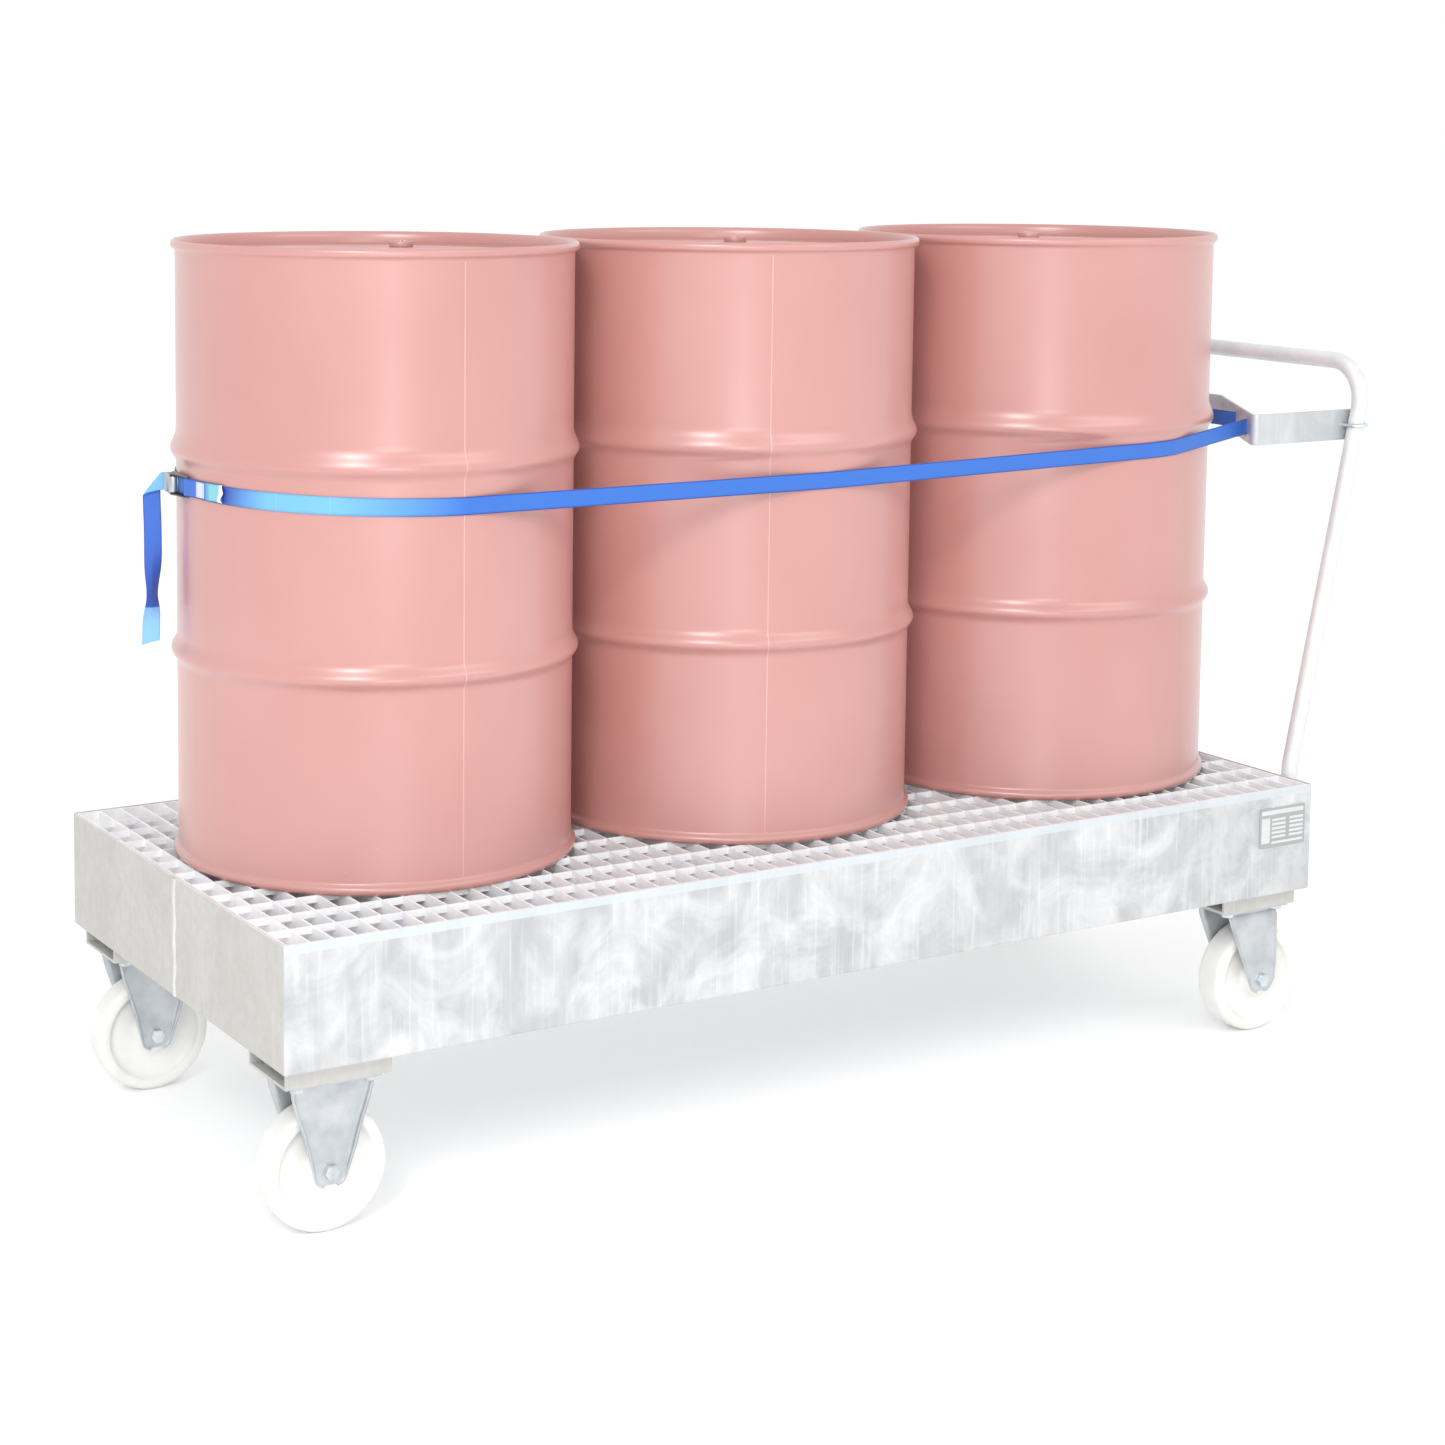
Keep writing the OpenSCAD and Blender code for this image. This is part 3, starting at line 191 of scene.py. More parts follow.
# Woven polyester webbing, its threads shine softly. Its UV map holds millimetres: u across, v along. Sections
# are lengths in another tone, for stitches and print or for painted light and shade: start, end, softness,
# skew across the band, colour, share
def wovenWebbing(name, tones, rib, pick, width, sections=()):
    material, tree, surface, place = startMaterial(name,
        {"Roughness": 0.5, "IOR": 1.53, "Specular IOR Level": 0.6, "Sheen Weight": 0.08})
    uv = addNode(tree, "UVMap", {"uv_map": "cloth"}).outputs[0]
    axes = addNode(tree, "SeparateXYZ", sockets={"Vector": uv})
    warp = addNode(tree, "Math", {"operation": "MULTIPLY"}, {0: axes.outputs[0], 1: math.tau / rib})
    weft = addNode(tree, "Math", {"operation": "MULTIPLY"}, {0: axes.outputs[1], 1: math.tau / pick})
    warpWave = addNode(tree, "Math", {"operation": "SINE"}, {0: warp.outputs[0]})
    weftWave = addNode(tree, "Math", {"operation": "SINE"}, {0: weft.outputs[0]})
    cross = addNode(tree, "Math", {"operation": "MULTIPLY"}, {0: warpWave.outputs[0], 1: weftWave.outputs[0]})
    height = addNode(tree, "MapRange", sockets={"Value": cross.outputs[0], "From Min": -1.0, "From Max": 1.0})
    thread = addNode(tree, "ValToRGB", sockets={"Fac": height.outputs[0]},
                     stops=[(0.0, tones["gap"]), (0.5, tones["thread"]), (1.0, tones["light"])])
    # the selvedges are darker, about 1.2 mm wide
    middle = addNode(tree, "Math", {"operation": "SUBTRACT"}, {0: axes.outputs[0], 1: width / 2})
    out = addNode(tree, "Math", {"operation": "ABSOLUTE"}, {0: middle.outputs[0]})
    edge = addNode(tree, "MapRange", sockets={"Value": out.outputs[0], "From Min": width / 2 - 1.8,
                                              "From Max": width / 2 - 0.9, "To Min": 0.0, "To Max": 0.75})
    colour = mixColours(tree, edge.outputs[0], thread.outputs["Color"], linear(tones["edge"]))
    for start, end, soft, skew, tone, share in sections:
        slant = addNode(tree, "Math", {"operation": "MULTIPLY_ADD"},
            {0: middle.outputs[0], 1: skew, 2: axes.outputs[1]})
        rise = addNode(tree, "MapRange", sockets={"Value": slant.outputs[0],
            "From Min": start - soft[0] / 2, "From Max": start + soft[0] / 2, "To Min": 0.0,
            "To Max": share})
        fall = addNode(tree, "MapRange", sockets={"Value": slant.outputs[0], "From Min": end - soft[1] / 2,
            "From Max": end + soft[1] / 2, "To Min": share, "To Max": 0.0})
        part = addNode(tree, "Math", {"operation": "MINIMUM"}, {0: rise.outputs[0], 1: fall.outputs[0]})
        colour = mixColours(tree, part.outputs[0], colour, linear(tone))
    tree.links.new(colour, surface.inputs["Base Color"])
    bump = addNode(tree, "Bump", sockets={"Height": height.outputs[0], "Strength": 0.6,
        "Distance": 0.35 * mm})
    tree.links.new(bump.outputs[0], surface.inputs["Normal"])
    return material


print("materials")
# The paler copies of the zinc are painted light: the tray's floor, rim and corners, ledges, beams and sockets
# take one, and the grating bars are painted white
galvanisedPaleLitCopy = galvanisedSteel("hotDipZincPaleLit", "#F0F1F2", "#E2E4E6", run=0.4, metallic=0.2)
galvanisedSide = galvanisedSteel("hotDipGalvanisedSide", "#CACBCD", "#B9BBBE", run=0.5, metallic=0.45,
    rimAt=0.418)
# A darker, warmer copy of the same zinc is painted shade: the end walls and the feet take it
galvanisedShadedCopy = galvanisedSteel("hotDipZincShaded", "#C6C4BF", "#BDBBB7", run=0.12, metallic=0.45,
    streak=0.3)
galvanisedPaleLitBars = galvanisedSteel("hotDipZincBarsPaleLit", "#FFFFFF", "#F2F5F9", run=0.2, metallic=0.1)
galvanisedTube = galvanisedSteel("hotDipGalvanisedTube", "#E4E8E9", "#D2D7D9", run=0.3, rough=(0.35, 0.5),
                                 metallic=0.2, streak=0.6)
weldZinc = galvanisedSteel("galvanisedWeld", "#E0DFDC", "#CFCECB", run=0.4, metallic=0.4)
galvanisedStrip = galvanisedSteel("hotDipGalvanisedStrip", "#C6CACC", "#BABEC1", run=0.25,
    rough=(0.35, 0.5), metallic=0.4, streak=0.35)
castorZinc = zincPlated("zincPlatedPressing", "#C8CCCF", "#B3B8BC", metallic=0.55)
boltZinc = zincPlated("zincPlatedFastener", "#DDE4EA", "#B9C0C6", rough=0.24)
ballSteel = zincPlated("polishedBearingSteel", "#DADCDE", "#C6C8CA", rough=0.12, metallic=1.0)
buckleZinc = zincPlated("zincPlatedBuckle", "#8F8681", "#665E5A", rough=0.32)
camZinc = zincPlated("zincDieCasting", "#CFD0D1", "#A9AAAB", rough=0.38)
bungZinc = zincPlated("zincPlatedBung", "#D2A39C", "#C0948E", rough=0.42, metallic=0.35)
drumPaint = drumEnamel("stovedEnamel", {"light": "#C58E88", "dark": "#BE857F", "scuff": "#EAD0CB"})
seamPaint = drumEnamel("stovedEnamelOverWeld", {"light": "#D9AAA4", "dark": "#CC9993", "scuff": "#F2E2DE"})
polyamide = castPolyamide("castPolyamide")
blueYarn = {"gap": "#164FB0", "thread": "#1D64C6", "light": "#3484DC", "edge": "#173C98"}
labelWhite = wovenWebbing("wovenLabelWhite", {"gap": "#B4C2E0", "thread": "#D3DCEE", "light": "#ECF0F8",
    "edge": "#B9C6E2"}, rib=0.8, pick=0.8, width=22,
    sections=[(2.5, 3.7, (0.3, 0.3), 0, "#5C7FD0", 0.7), (18.3, 19.5, (0.3, 0.3), 0, "#5C7FD0", 0.7)])
# the tag's first third is bluer, and its loose end shows the white back of the cloth
labelTurquoise = wovenWebbing("wovenLabelTurquoise",
    {"gap": "#5DB3C6", "thread": "#7FC8D2", "light": "#9BD8DF", "edge": "#5FB4C8"}, rib=0.8, pick=0.8,
    width=24, sections=[(-5, 8, (1, 2), 0, "#4FA6DA", 0.9), (31, 60, (1.5, 1), -0.2, "#F4F6F9", 0.95)])


# Printed aluminium: satin grey with a fine brushed grain along its length
def printedAluminium(name, light, dark, metallic):
    material, tree, surface, place = startMaterial(name, {"Metallic": metallic, "Roughness": 0.42})
    brushed = addNode(tree, "Mapping", sockets={"Vector": place, "Scale": (20, 200, 900)})
    grain = addNode(tree, "TexNoise", sockets={"Vector": brushed.outputs[0], "Scale": 1.0, "Detail": 2.0})
    tone = addNode(tree, "ValToRGB", sockets={"Fac": grain.outputs["Fac"]}, stops=[(0.3, dark), (0.7, light)])
    tree.links.new(tone.outputs["Color"], surface.inputs["Base Color"])
    return material


plateGrey = printedAluminium("printedAluminiumGrey", "#AEB0B0", "#A2A4A4", 0.3)
plateLight = printedAluminium("bareAluminiumField", "#E2E3E4", "#D2D4D5", 0.6)


# Turns a bmesh into a piece that rides on a body
def newPiece(name, bm, material, body, slot, replaced=(), sharp=32, modifiers=()):
    bmesh.ops.remove_doubles(bm, verts=bm.verts, dist=0.001 * mm)
    for face in bm.faces:
        face.smooth = True
    for edge in bm.edges:
        edge.smooth = edge.calc_face_angle(0) < math.radians(sharp)
    mesh = bpy.data.meshes.new(name)
    bm.to_mesh(mesh)
    bm.free()
    mesh.materials.append(material)
    piece = bpy.data.objects.new(name, mesh)
    bpy.context.scene.collection.objects.link(piece)
    for kind, settings in modifiers:
        modifier = piece.modifiers.new(kind.title(), kind)
        for key, value in settings.items():
            setattr(modifier, key, value)
    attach(piece, body)
    if replaced:
        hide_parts(*replaced)
    return piece


def outwards(bm):
    bmesh.ops.remove_doubles(bm, verts=bm.verts, dist=0.01 * mm)
    bmesh.ops.recalc_face_normals(bm, faces=bm.faces)


def bevelSharp(bm, width, segments=2, angle=30, keep=lambda edge: True):
    edges = [e for e in bm.edges
        if len(e.link_faces) == 2 and e.calc_face_angle(0) > math.radians(angle) and keep(e)]
    bmesh.ops.bevel(bm, geom=edges, offset=width, offset_type="OFFSET", segments=segments, affect="EDGES",
                    profile=0.5, material=-1, clamp_overlap=True)


# A CAD node's solid, merged, cleared of its triangles and with its edges broken
def softened(name, width, material, body, slot, segments=2, angle=30):
    bm = bmesh.new()
    bm.from_mesh(nodes[name].data)
    bmesh.ops.remove_doubles(bm, verts=bm.verts, dist=0.01 * mm)
    bmesh.ops.dissolve_limit(bm, angle_limit=math.radians(0.5), verts=bm.verts, edges=bm.edges)
    bevelSharp(bm, width, segments, angle)
    return newPiece(name + "_finished", bm, material, body, slot, [name])


# A CAD node that keeps its mesh and takes a material
def repaint(name, material):
    nodes[name].data.materials.clear()
    nodes[name].data.materials.append(material)


# A flat grid whose points are placed from u across and v along, both from 0 to 1
def gridSheet(across, along, place, uvSize=None):
    bm = bmesh.new()
    bmesh.ops.create_grid(bm, x_segments=across, y_segments=along, size=0.5)
    if uvSize:
        layer = bm.loops.layers.uv.new("cloth")
        for face in bm.faces:
            for loop in face.loops:
                loop[layer].uv = ((loop.vert.co.x + 0.5) * uvSize[0], (loop.vert.co.y + 0.5) * uvSize[1])
    for vert in bm.verts:
        vert.co = place(vert.co.x + 0.5, vert.co.y + 0.5)
    return bm


# Turns a profile of (radius, height) points round an axis
def lathe(profile, centre, axis, turn, steps, closed=False):
    bm = bmesh.new()
    verts = [bm.verts.new(Vector((r, 0, h))) for r, h in profile]
    edges = [bm.edges.new(pair) for pair in zip(verts, verts[1:])]
    if closed:
        edges.append(bm.edges.new((verts[-1], verts[0])))
    bmesh.ops.spin(bm, geom=verts + edges, cent=(0, 0, 0), axis=(0, 0, 1), angle=math.tau, steps=steps,
                   use_merge=True)
    outwards(bm)
    place = Matrix.Translation(centre) @ zAxis.rotation_difference(Vector(axis)).to_matrix().to_4x4() \
        @ Matrix.Rotation(turn, 4, "Z")
    bmesh.ops.transform(bm, matrix=place, verts=bm.verts)
    return bm


# A round bar swept along straights and bends from a first ring
def sweptBar(start, along, radius, moves, sides=32, bm=None):
    bm = bm or bmesh.new()
    ring = bmesh.ops.create_circle(bm, cap_ends=True, segments=sides, radius=radius,
                                   matrix=Matrix.Translation(start) @ zAxis.rotation_difference(Vector(along))
                                   .to_matrix().to_4x4())["verts"]
    ends = list({e for v in ring for e in v.link_edges})
    for move in moves:
        if move[0] == "straight":
            made = bmesh.ops.extrude_edge_only(bm, edges=ends)["geom"]
            bmesh.ops.translate(bm, vec=move[1], verts=[g for g in made if isinstance(g, bmesh.types.BMVert)])
        else:
            made = bmesh.ops.spin(bm, geom=ends + list({v for e in ends for v in e.verts}), cent=move[1],
                                  axis=move[2], angle=math.radians(move[3]), steps=move[4])["geom_last"]
        ends = [g for g in made if isinstance(g, bmesh.types.BMEdge)]
    bmesh.ops.holes_fill(bm, edges=ends, sides=0)
    return bm


view = {"place": (-2.3848, -3.5624, 1.4772), "azimuth": 0.543732, "pitch": 0.100591, "roll": 0.009887,
        "lens": 68.566, "shift": (0.06195, -0.225)}
light = {"world": 1.0, "key": 42, "keySize": 0.8, "soft": 84, "strip": 60, "front": 26, "floor": "#F6F6F6",
         "floorGlow": 0.1}

forward = Vector((math.sin(view["azimuth"]) * math.cos(view["pitch"]),
                  math.cos(view["azimuth"]) * math.cos(view["pitch"]), -math.sin(view["pitch"])))
right = Vector((math.cos(view["azimuth"]), -math.sin(view["azimuth"]), 0))
up = right.cross(forward)
rightRolled = right * math.cos(view["roll"]) + up * math.sin(view["roll"])
upRolled = up * math.cos(view["roll"]) - right * math.sin(view["roll"])
cameraData = bpy.data.cameras.new("camera")
cameraData.sensor_width = 36
cameraData.lens = view["lens"]
cameraData.shift_x, cameraData.shift_y = view["shift"]
camera = bpy.data.objects.new("camera", cameraData)
turned = Matrix((rightRolled, upRolled, -forward)).transposed().to_4x4()
camera.matrix_world = Matrix.Translation(view["place"]) @ turned
bpy.context.scene.collection.objects.link(camera)
bpy.context.scene.camera = camera
bpy.context.scene.view_settings.view_transform = "Standard"

world = bpy.data.worlds.new("studio")
world.use_nodes = True
world.node_tree.nodes["Background"].inputs["Color"].default_value = (1, 1, 1, 1)
world.node_tree.nodes["Background"].inputs["Strength"].default_value = light["world"]
bpy.context.scene.world = world


def areaLamp(name, place, aim, size, power, height=None):
    data = bpy.data.lights.new(name, "AREA")
    data.shape, data.size, data.energy = "ELLIPSE" if height else "DISK", size, power
    if height:
        data.size_y = height
    lamp = bpy.data.objects.new(name, data)
    lamp.matrix_world = Matrix.Translation(place) @ (Vector(place) - Vector(aim)).to_track_quat("Z", "Y") \
        .to_matrix().to_4x4()
    bpy.context.scene.collection.objects.link(lamp)


areaLamp("keyLight", (-4.0, -4.1, 4.4), (-0.2, 0, 0.7), light["keySize"], light["key"])
areaLamp("softLight", (-4.1, -4.2, 3.9), (-0.2, 0, 0.7), 2.2, light["soft"], 2.8)
# a long strip lamp draws the even sheen along the hoops' upper slopes, a low one opens the gaps between drums
areaLamp("stripLight", (1.7, -5.8, 4.7), (0.1, 0, 0.8), 6.5, light["strip"], 1.2)
areaLamp("frontLight", (-2.0, -4.4, 1.3), (0, 0, 0.7), 1.6, light["front"])

floorMesh = bmesh.new()
bmesh.ops.create_circle(floorMesh, cap_ends=True, segments=96, radius=150,
                        matrix=Matrix.Translation((0, 0, -0.2 * mm)))
floorData = bpy.data.meshes.new("floor")
floorMesh.to_mesh(floorData)
floorMesh.free()
floor = bpy.data.objects.new("floor", floorData)
bpy.context.scene.collection.objects.link(floor)
floorPaint, _, floorShader, _ = startMaterial("paleFloor", {"Roughness": 0.8})
floorShader.inputs["Base Color"].default_value = linear(light["floor"])
# a faint glow keeps the floor as pale as the backdrop
floorShader.inputs["Emission Color"].default_value = (1, 1, 1, 1)
floorShader.inputs["Emission Strength"].default_value = light["floorGlow"]
floorData.materials.append(floorPaint)


print("tray")
tray = {"sheet": 3, "corner": 5, "fold": 4, "beadWidth": 10, "beadHeight": 1.8, "beadAside": -18}
trayLow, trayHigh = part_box("end_walls")
rim = trayHigh.z
middleX = (trayLow.x + trayHigh.x) / 2


def boxBetween(low, high):
    bm = bmesh.new()
    size = high - low
    middle = Matrix.Translation((low + high) / 2)
    bmesh.ops.create_cube(bm, size=1, matrix=middle @ Matrix.Diagonal((*size, 1)))
    return bm


bm = boxBetween(trayLow, trayHigh)
corners = [e for e in bm.edges if abs(e.verts[0].co.z - e.verts[1].co.z) > 0.01]
bmesh.ops.bevel(bm, geom=corners, offset=tray["corner"] * mm, segments=5, affect="EDGES", profile=0.5,
    material=-1)
bmesh.ops.delete(bm, geom=[f for f in bm.faces if f.calc_center_median().z > rim - 1 * mm], context="FACES")
folds = [e for e in bm.edges if len(e.link_faces) == 2 and max(v.co.z for v in e.verts) < trayLow.z + 1 * mm]
bmesh.ops.bevel(bm, geom=folds, offset=tray["fold"] * mm, segments=4, affect="EDGES", profile=0.5,
    material=-1)
outwards(bm)
bmesh.ops.solidify(bm, geom=list(bm.faces), thickness=tray["sheet"] * mm)
shell = newPiece("tray_shell", bm, galvanisedPaleLitCopy, "chassis", "galvanised_tray",
                 ["sump_tray", "side_walls", "end_walls"],
                 modifiers=[("BEVEL", {"width": 0.5 * mm, "segments": 2, "limit_method": "ANGLE"})])
shell.data.materials.append(galvanisedSide)
shell.data.materials.append(galvanisedShadedCopy)
# Each face takes a toned copy of one zinc by its facing: the end walls the darker, warmer one as painted
# shade, the long sides their own, the floor, rim and corners the paler one as painted light
for face in shell.data.polygons:
    face.material_index = 2 if abs(face.normal.x) > 0.8 else 1 if abs(face.normal.y) > 0.5 else 0


# The weld down the middle of each end wall is a row of overlapping ripples
def weldBead(name, wallX, outward, aside, low, high):
    def place(u, v):
        out = tray["beadHeight"] * mm * math.sin(math.pi * u) * (1 + 0.25 * math.sin(v * 210))
        across = (u - 0.5) * (1 + 0.18 * math.sin(v * 31 + 1)) + 0.15 * math.sin(v * 17)
        return Vector((wallX + outward * out, (aside + tray["beadWidth"] * across) * mm,
            low + (high - low) * v))
    bm = gridSheet(8, 150, place)
    newPiece(name, bm, weldZinc, "chassis", "galvanised_tray", sharp=60)


weldBead("weld_front", trayLow.x, -1, tray["beadAside"], trayLow.z + 2 * mm, rim - 1 * mm)
weldBead("weld_rear", trayHigh.x, 1, -tray["beadAside"], trayLow.z + 2 * mm, rim - 1 * mm)

footNames = ("foot_front_left", "foot_front_right", "foot_rear_left", "foot_rear_right")

# Short welds hold each foot to the tray's floor
bm = bmesh.new()
for name in footNames:
    low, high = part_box(name)
    for k, share in enumerate((0.04, 0.5, 0.96)):
        for y in (low.y, high.y):
            spot = Vector((low.x + (high.x - low.x) * share, y, high.z - 1.5 * mm))
            bmesh.ops.create_icosphere(bm, subdivisions=2, radius=1, matrix=Matrix.Translation(spot)
                                       @ Matrix.Diagonal(((9 - 2 * k) * mm, 2.6 * mm, 3 * mm, 1)))
        for x in (low.x, high.x):
            spot = Vector((x, low.y + (high.y - low.y) * share, high.z - 1.5 * mm))
            bmesh.ops.create_icosphere(bm, subdivisions=2, radius=1, matrix=Matrix.Translation(spot)
                                       @ Matrix.Diagonal((2.4 * mm, (6 + 2 * k) * mm, 3 * mm, 1)))
newPiece("foot_welds", bm, weldZinc, "chassis", "galvanised_tray", sharp=60)

# The grating bars are painted white, and the ledges and beams take the paler copy, as painted light
for name in ("grating_front", "grating_rear"):
    repaint(name, galvanisedPaleLitBars)
for name in ("grating_ledges", "centre_beams"):
    repaint(name, galvanisedPaleLitCopy)
# The feet take the darker copy of the zinc as painted shade
for name in footNames:
    softened(name, 2.2 * mm, galvanisedShadedCopy, "chassis", "galvanised_tray", segments=4)


print("castors")
castor = {"plate": 214, "forkHalf": 30, "sheet": 3.5, "flange": 7, "fold": 4, "tip": 76, "growth": 42,
          "crownHalf": 31, "crownThick": 5}

# A fixed fork's leg at heights above the floor: half its width, and how far it stands out
fixedLeg = [(69.5, 9, 0), (71, 14, 0), (74, 18, 0), (78, 20, 0), (90, 23.5, 0), (102, 26.5, 0), (122, 32, 0),
            (141, 37, 0), (158, 42.5, 0), (172, 47.5, 0), (185, 51.5, 0), (197, 54.5, 0.6), (206, 56, 2.2),
            (211, 56.5, 4.5), (213.8, 57, 8.5)]
# A swivel fork's leg: its two edges from the kingpin's axis, and how far it stands out
swivelLeg = [(69.5, 28, 44, 0), (71, 23, 49, 0), (74, 18.5, 53.5, 0), (79, 14.5, 57.5, 0), (87.5, 11, 61, 0),
             (105, 3, 61, 0), (130, -8.5, 60.5, 0), (160, -21.5, 60, 0), (185, -32.5, 59.5, 0),
             (195, -36, 59, 0), (200, -37, 59, -1.2), (204, -37, 59, -4)]


# A row between two given ones, at v from 0 to 1 down the list
def rowAt(rows, v):
    at = v * (len(rows) - 1)
    k = min(int(at), len(rows) - 2)
    return [a + (b - a) * (at - k) for a, b in zip(rows[k], rows[k + 1])]


# The outline of a leg seen from above: flange, fold, face, fold, flange
def legSection(left, rightEdge, out, flange, fold):
    quarter = [(1 - math.cos(math.radians(a)), 1 - math.sin(math.radians(a)))
        for a in (0, 22.5, 45, 67.5, 90)]
    half = [(0, out + flange)] + [(x * fold, out + y * fold) for x, y in quarter]
    face = [(left + x, y) for x, y in half]
    back = [(rightEdge - x, y) for x, y in reversed(half)]
    between = [(face[-1][0] + (back[0][0] - face[-1][0]) * k / 6, face[-1][1]) for k in range(1, 6)]
    return face + between + back


def forkLeg(name, centre, side, rows, flange, body):
    count = len(legSection(-20, 20, 30, 5, 4)) - 1

    def place(u, v):
        row = rowAt(rows, v)
        z, left, rightEdge, lift = row if len(row) == 4 else (row[0], -row[1], row[1], row[2])
        out = castor["forkHalf"] + castor["sheet"] + lift
        # the leg's tip is flat, its flanges grow out of it
        grown = min(1, max(0.05, (z - castor["tip"]) / castor["growth"]))
        section = legSection(left, rightEdge, out, flange * grown, castor["fold"] * grown)
        x, y = section[round(u * count)]
        return Vector((centre.x + x * mm, centre.y + side * y * mm, z * mm))
    bm = gridSheet(count, 2 * (len(rows) - 1), place)
    outwards(bm)
    middles = {f: f.calc_center_median() for f in bm.faces}
    face = min(bm.faces, key=lambda f: (middles[f] - Vector((centre.x, middles[f].y, 0.12))).length)
    if face.normal.y * side < 0:
        bmesh.ops.reverse_faces(bm, faces=bm.faces)
    newPiece(name, bm, castorZinc, body, "zinc_castor",
             modifiers=[("SOLIDIFY", {"thickness": castor["sheet"] * mm, "offset": -1})])


for side, sign in (("left", -1), ("right", 1)):
    low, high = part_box("fixed_fork_" + side)
    centre = (low + high) / 2
    bm = boxBetween(Vector((low.x, low.y, castor["plate"] * mm)), Vector((high.x, high.y, high.z)))
    bmesh.ops.bevel(bm, geom=[e for e in bm.edges if abs(e.verts[0].co.z - e.verts[1].co.z) > 1 * mm],
                    offset=8 * mm, segments=4, affect="EDGES", profile=0.5, material=-1)
    bevelSharp(bm, 0.6 * mm)
    newPiece("fixed_plate_" + side, bm, castorZinc, "chassis", "zinc_castor", ["fixed_fork_" + side])
    for way in (-1, 1):
        forkLeg(f"fixed_leg_{side}_{'inner' if way == -sign else 'outer'}", centre, way, fixedLeg,
            castor["flange"], "chassis")

    low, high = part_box("swivel_plate_" + side)
    centre = (low + high) / 2
    softened("swivel_plate_" + side, 0.8 * mm, castorZinc, "chassis", "zinc_castor")
    for way in (-1, 1):
        forkLeg(f"swivel_leg_{side}_{'inner' if way == -sign else 'outer'}", centre, way, swivelLeg, 4,
                "swivel_" + side)
    low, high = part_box("swivel_fork_" + side)
    bm = boxBetween(Vector((low.x, centre.y - castor["crownHalf"] * mm, high.z - castor["crownThick"] * mm)),
                    Vector((high.x - 2 * mm, centre.y + castor["crownHalf"] * mm, high.z)))
    bevelSharp(bm, 1.2 * mm)
    newPiece("swivel_crown_" + side, bm, castorZinc, "swivel_" + side, "zinc_castor", ["swivel_fork_" + side])

    repaint("ball_race_" + side, ballSteel)
    softened("kingpin_" + side, 0.6 * mm, boltZinc, "chassis", "zinc_fastener")
    for end, body in (("front", "chassis"), ("rear", "swivel_" + side)):
        repaint(f"axle_tube_{end}_{side}", boltZinc)
        softened(f"axle_bolt_{end}_{side}", 0.7 * mm, boltZinc, body, "zinc_fastener")

softened("castor_bolts", 0.6 * mm, boltZinc, "chassis", "zinc_fastener")
softened("castor_nuts", 0.6 * mm, boltZinc, "chassis", "zinc_fastener")

# Half of a wheel's section, from its bore to the middle of its tread: radius, half width
wheel = {"profile": [(10.05, 29.2), (22.5, 29.2), (24, 28.7), (25, 27.4), (26.2, 22), (28.5, 18),
    (32.5, 15.8), (38, 15.1), (50, 15), (58, 15), (62, 15.2), (65, 16.2), (67.5, 18.2), (69.3, 21),
    (70.6, 23.4), (72.2, 24.6), (74.5, 25), (79, 25), (81.8, 24.5), (84.4, 23), (86.2, 20.6), (87.2, 18),
    (87.5, 15.5), (87.5, 8)]}
for end in ("front", "rear"):
    for side in ("left", "right"):
        name = f"wheel_{end}_{side}"
        low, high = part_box(name)
        half = [(r * mm, h * mm) for r, h in wheel["profile"]]
        section = half + [(half[-1][0], 0)] + [(r, -h) for r, h in reversed(half)]
        bm = lathe(section, (low + high) / 2, (0, 1, 0), 0, 96, closed=True)
        newPiece(name + "_cast", bm, polyamide, name + "_body", "white_polyamide", [name], sharp=40)


print("handle")
handle = {"radius": 13.45, "aside": 324, "lean": 12.4, "bend": 80, "corner": 60, "lower": 13, "upper": 602,
          "bar": 673, "foot": 140, "socket": 33.7}
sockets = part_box("handle_sockets")
handleX = sockets[1].x - handle["socket"] / 2 * mm
footZ = rim - handle["foot"] * mm
lean = math.radians(handle["lean"])
barX = handleX + (handle["upper"] - handle["lower"]) * math.tan(lean) * mm
setBack = handle["bend"] * math.tan(lean / 2)
leanLength = (handle["upper"] - handle["lower"]) / math.cos(lean) - 2 * setBack
lowerZ = rim + (handle["lower"] - setBack) * mm
upperZ = rim + (handle["upper"] + setBack) * mm
barZ = rim + handle["bar"] * mm
side = -handle["aside"] * mm
cornerRise = handle["bar"] - handle["corner"] - handle["upper"] - setBack
leanWay = Vector((math.sin(lean), 0, math.cos(lean)))
bend = handle["bend"] * mm
corner = handle["corner"] * mm
moves = [("straight", Vector((0, 0, lowerZ - footZ))),
         ("bend", (handleX + bend, side, lowerZ), (0, 1, 0), handle["lean"], 6),
         ("straight", leanWay * leanLength * mm),
         ("bend", (barX - bend, side, upperZ), (0, -1, 0), handle["lean"], 6),
         ("straight", Vector((0, 0, cornerRise * mm))),
         ("bend", (barX, side + corner, barZ - corner), (-1, 0, 0), 90, 14),
         ("straight", Vector((0, 2 * (handle["aside"] - handle["corner"]) * mm, 0))),
         ("bend", (barX, -side - corner, barZ - corner), (-1, 0, 0), 90, 14),
         ("straight", Vector((0, 0, -cornerRise * mm))),
         ("bend", (barX - bend, -side, upperZ), (0, 1, 0), handle["lean"], 6),
         ("straight", -leanWay * leanLength * mm),
         ("bend", (handleX + bend, -side, lowerZ), (0, -1, 0), handle["lean"], 6),
         ("straight", Vector((0, 0, footZ - lowerZ)))]
bm = sweptBar((handleX, side, footZ), (0, 0, 1), handle["radius"] * mm, moves, sides=36)
outwards(bm)
newPiece("handle_tube_bent", bm, galvanisedTube, "chassis", "handle_tube", ["handle_tube"], sharp=50)
softened("handle_sockets", 0.8 * mm, galvanisedPaleLitCopy, "chassis", "galvanised_tray")
softened("socket_bolts", 0.5 * mm, boltZinc, "chassis", "zinc_fastener")
softened("rest_clamps", 0.4 * mm, boltZinc, "chassis", "zinc_fastener", angle=40)


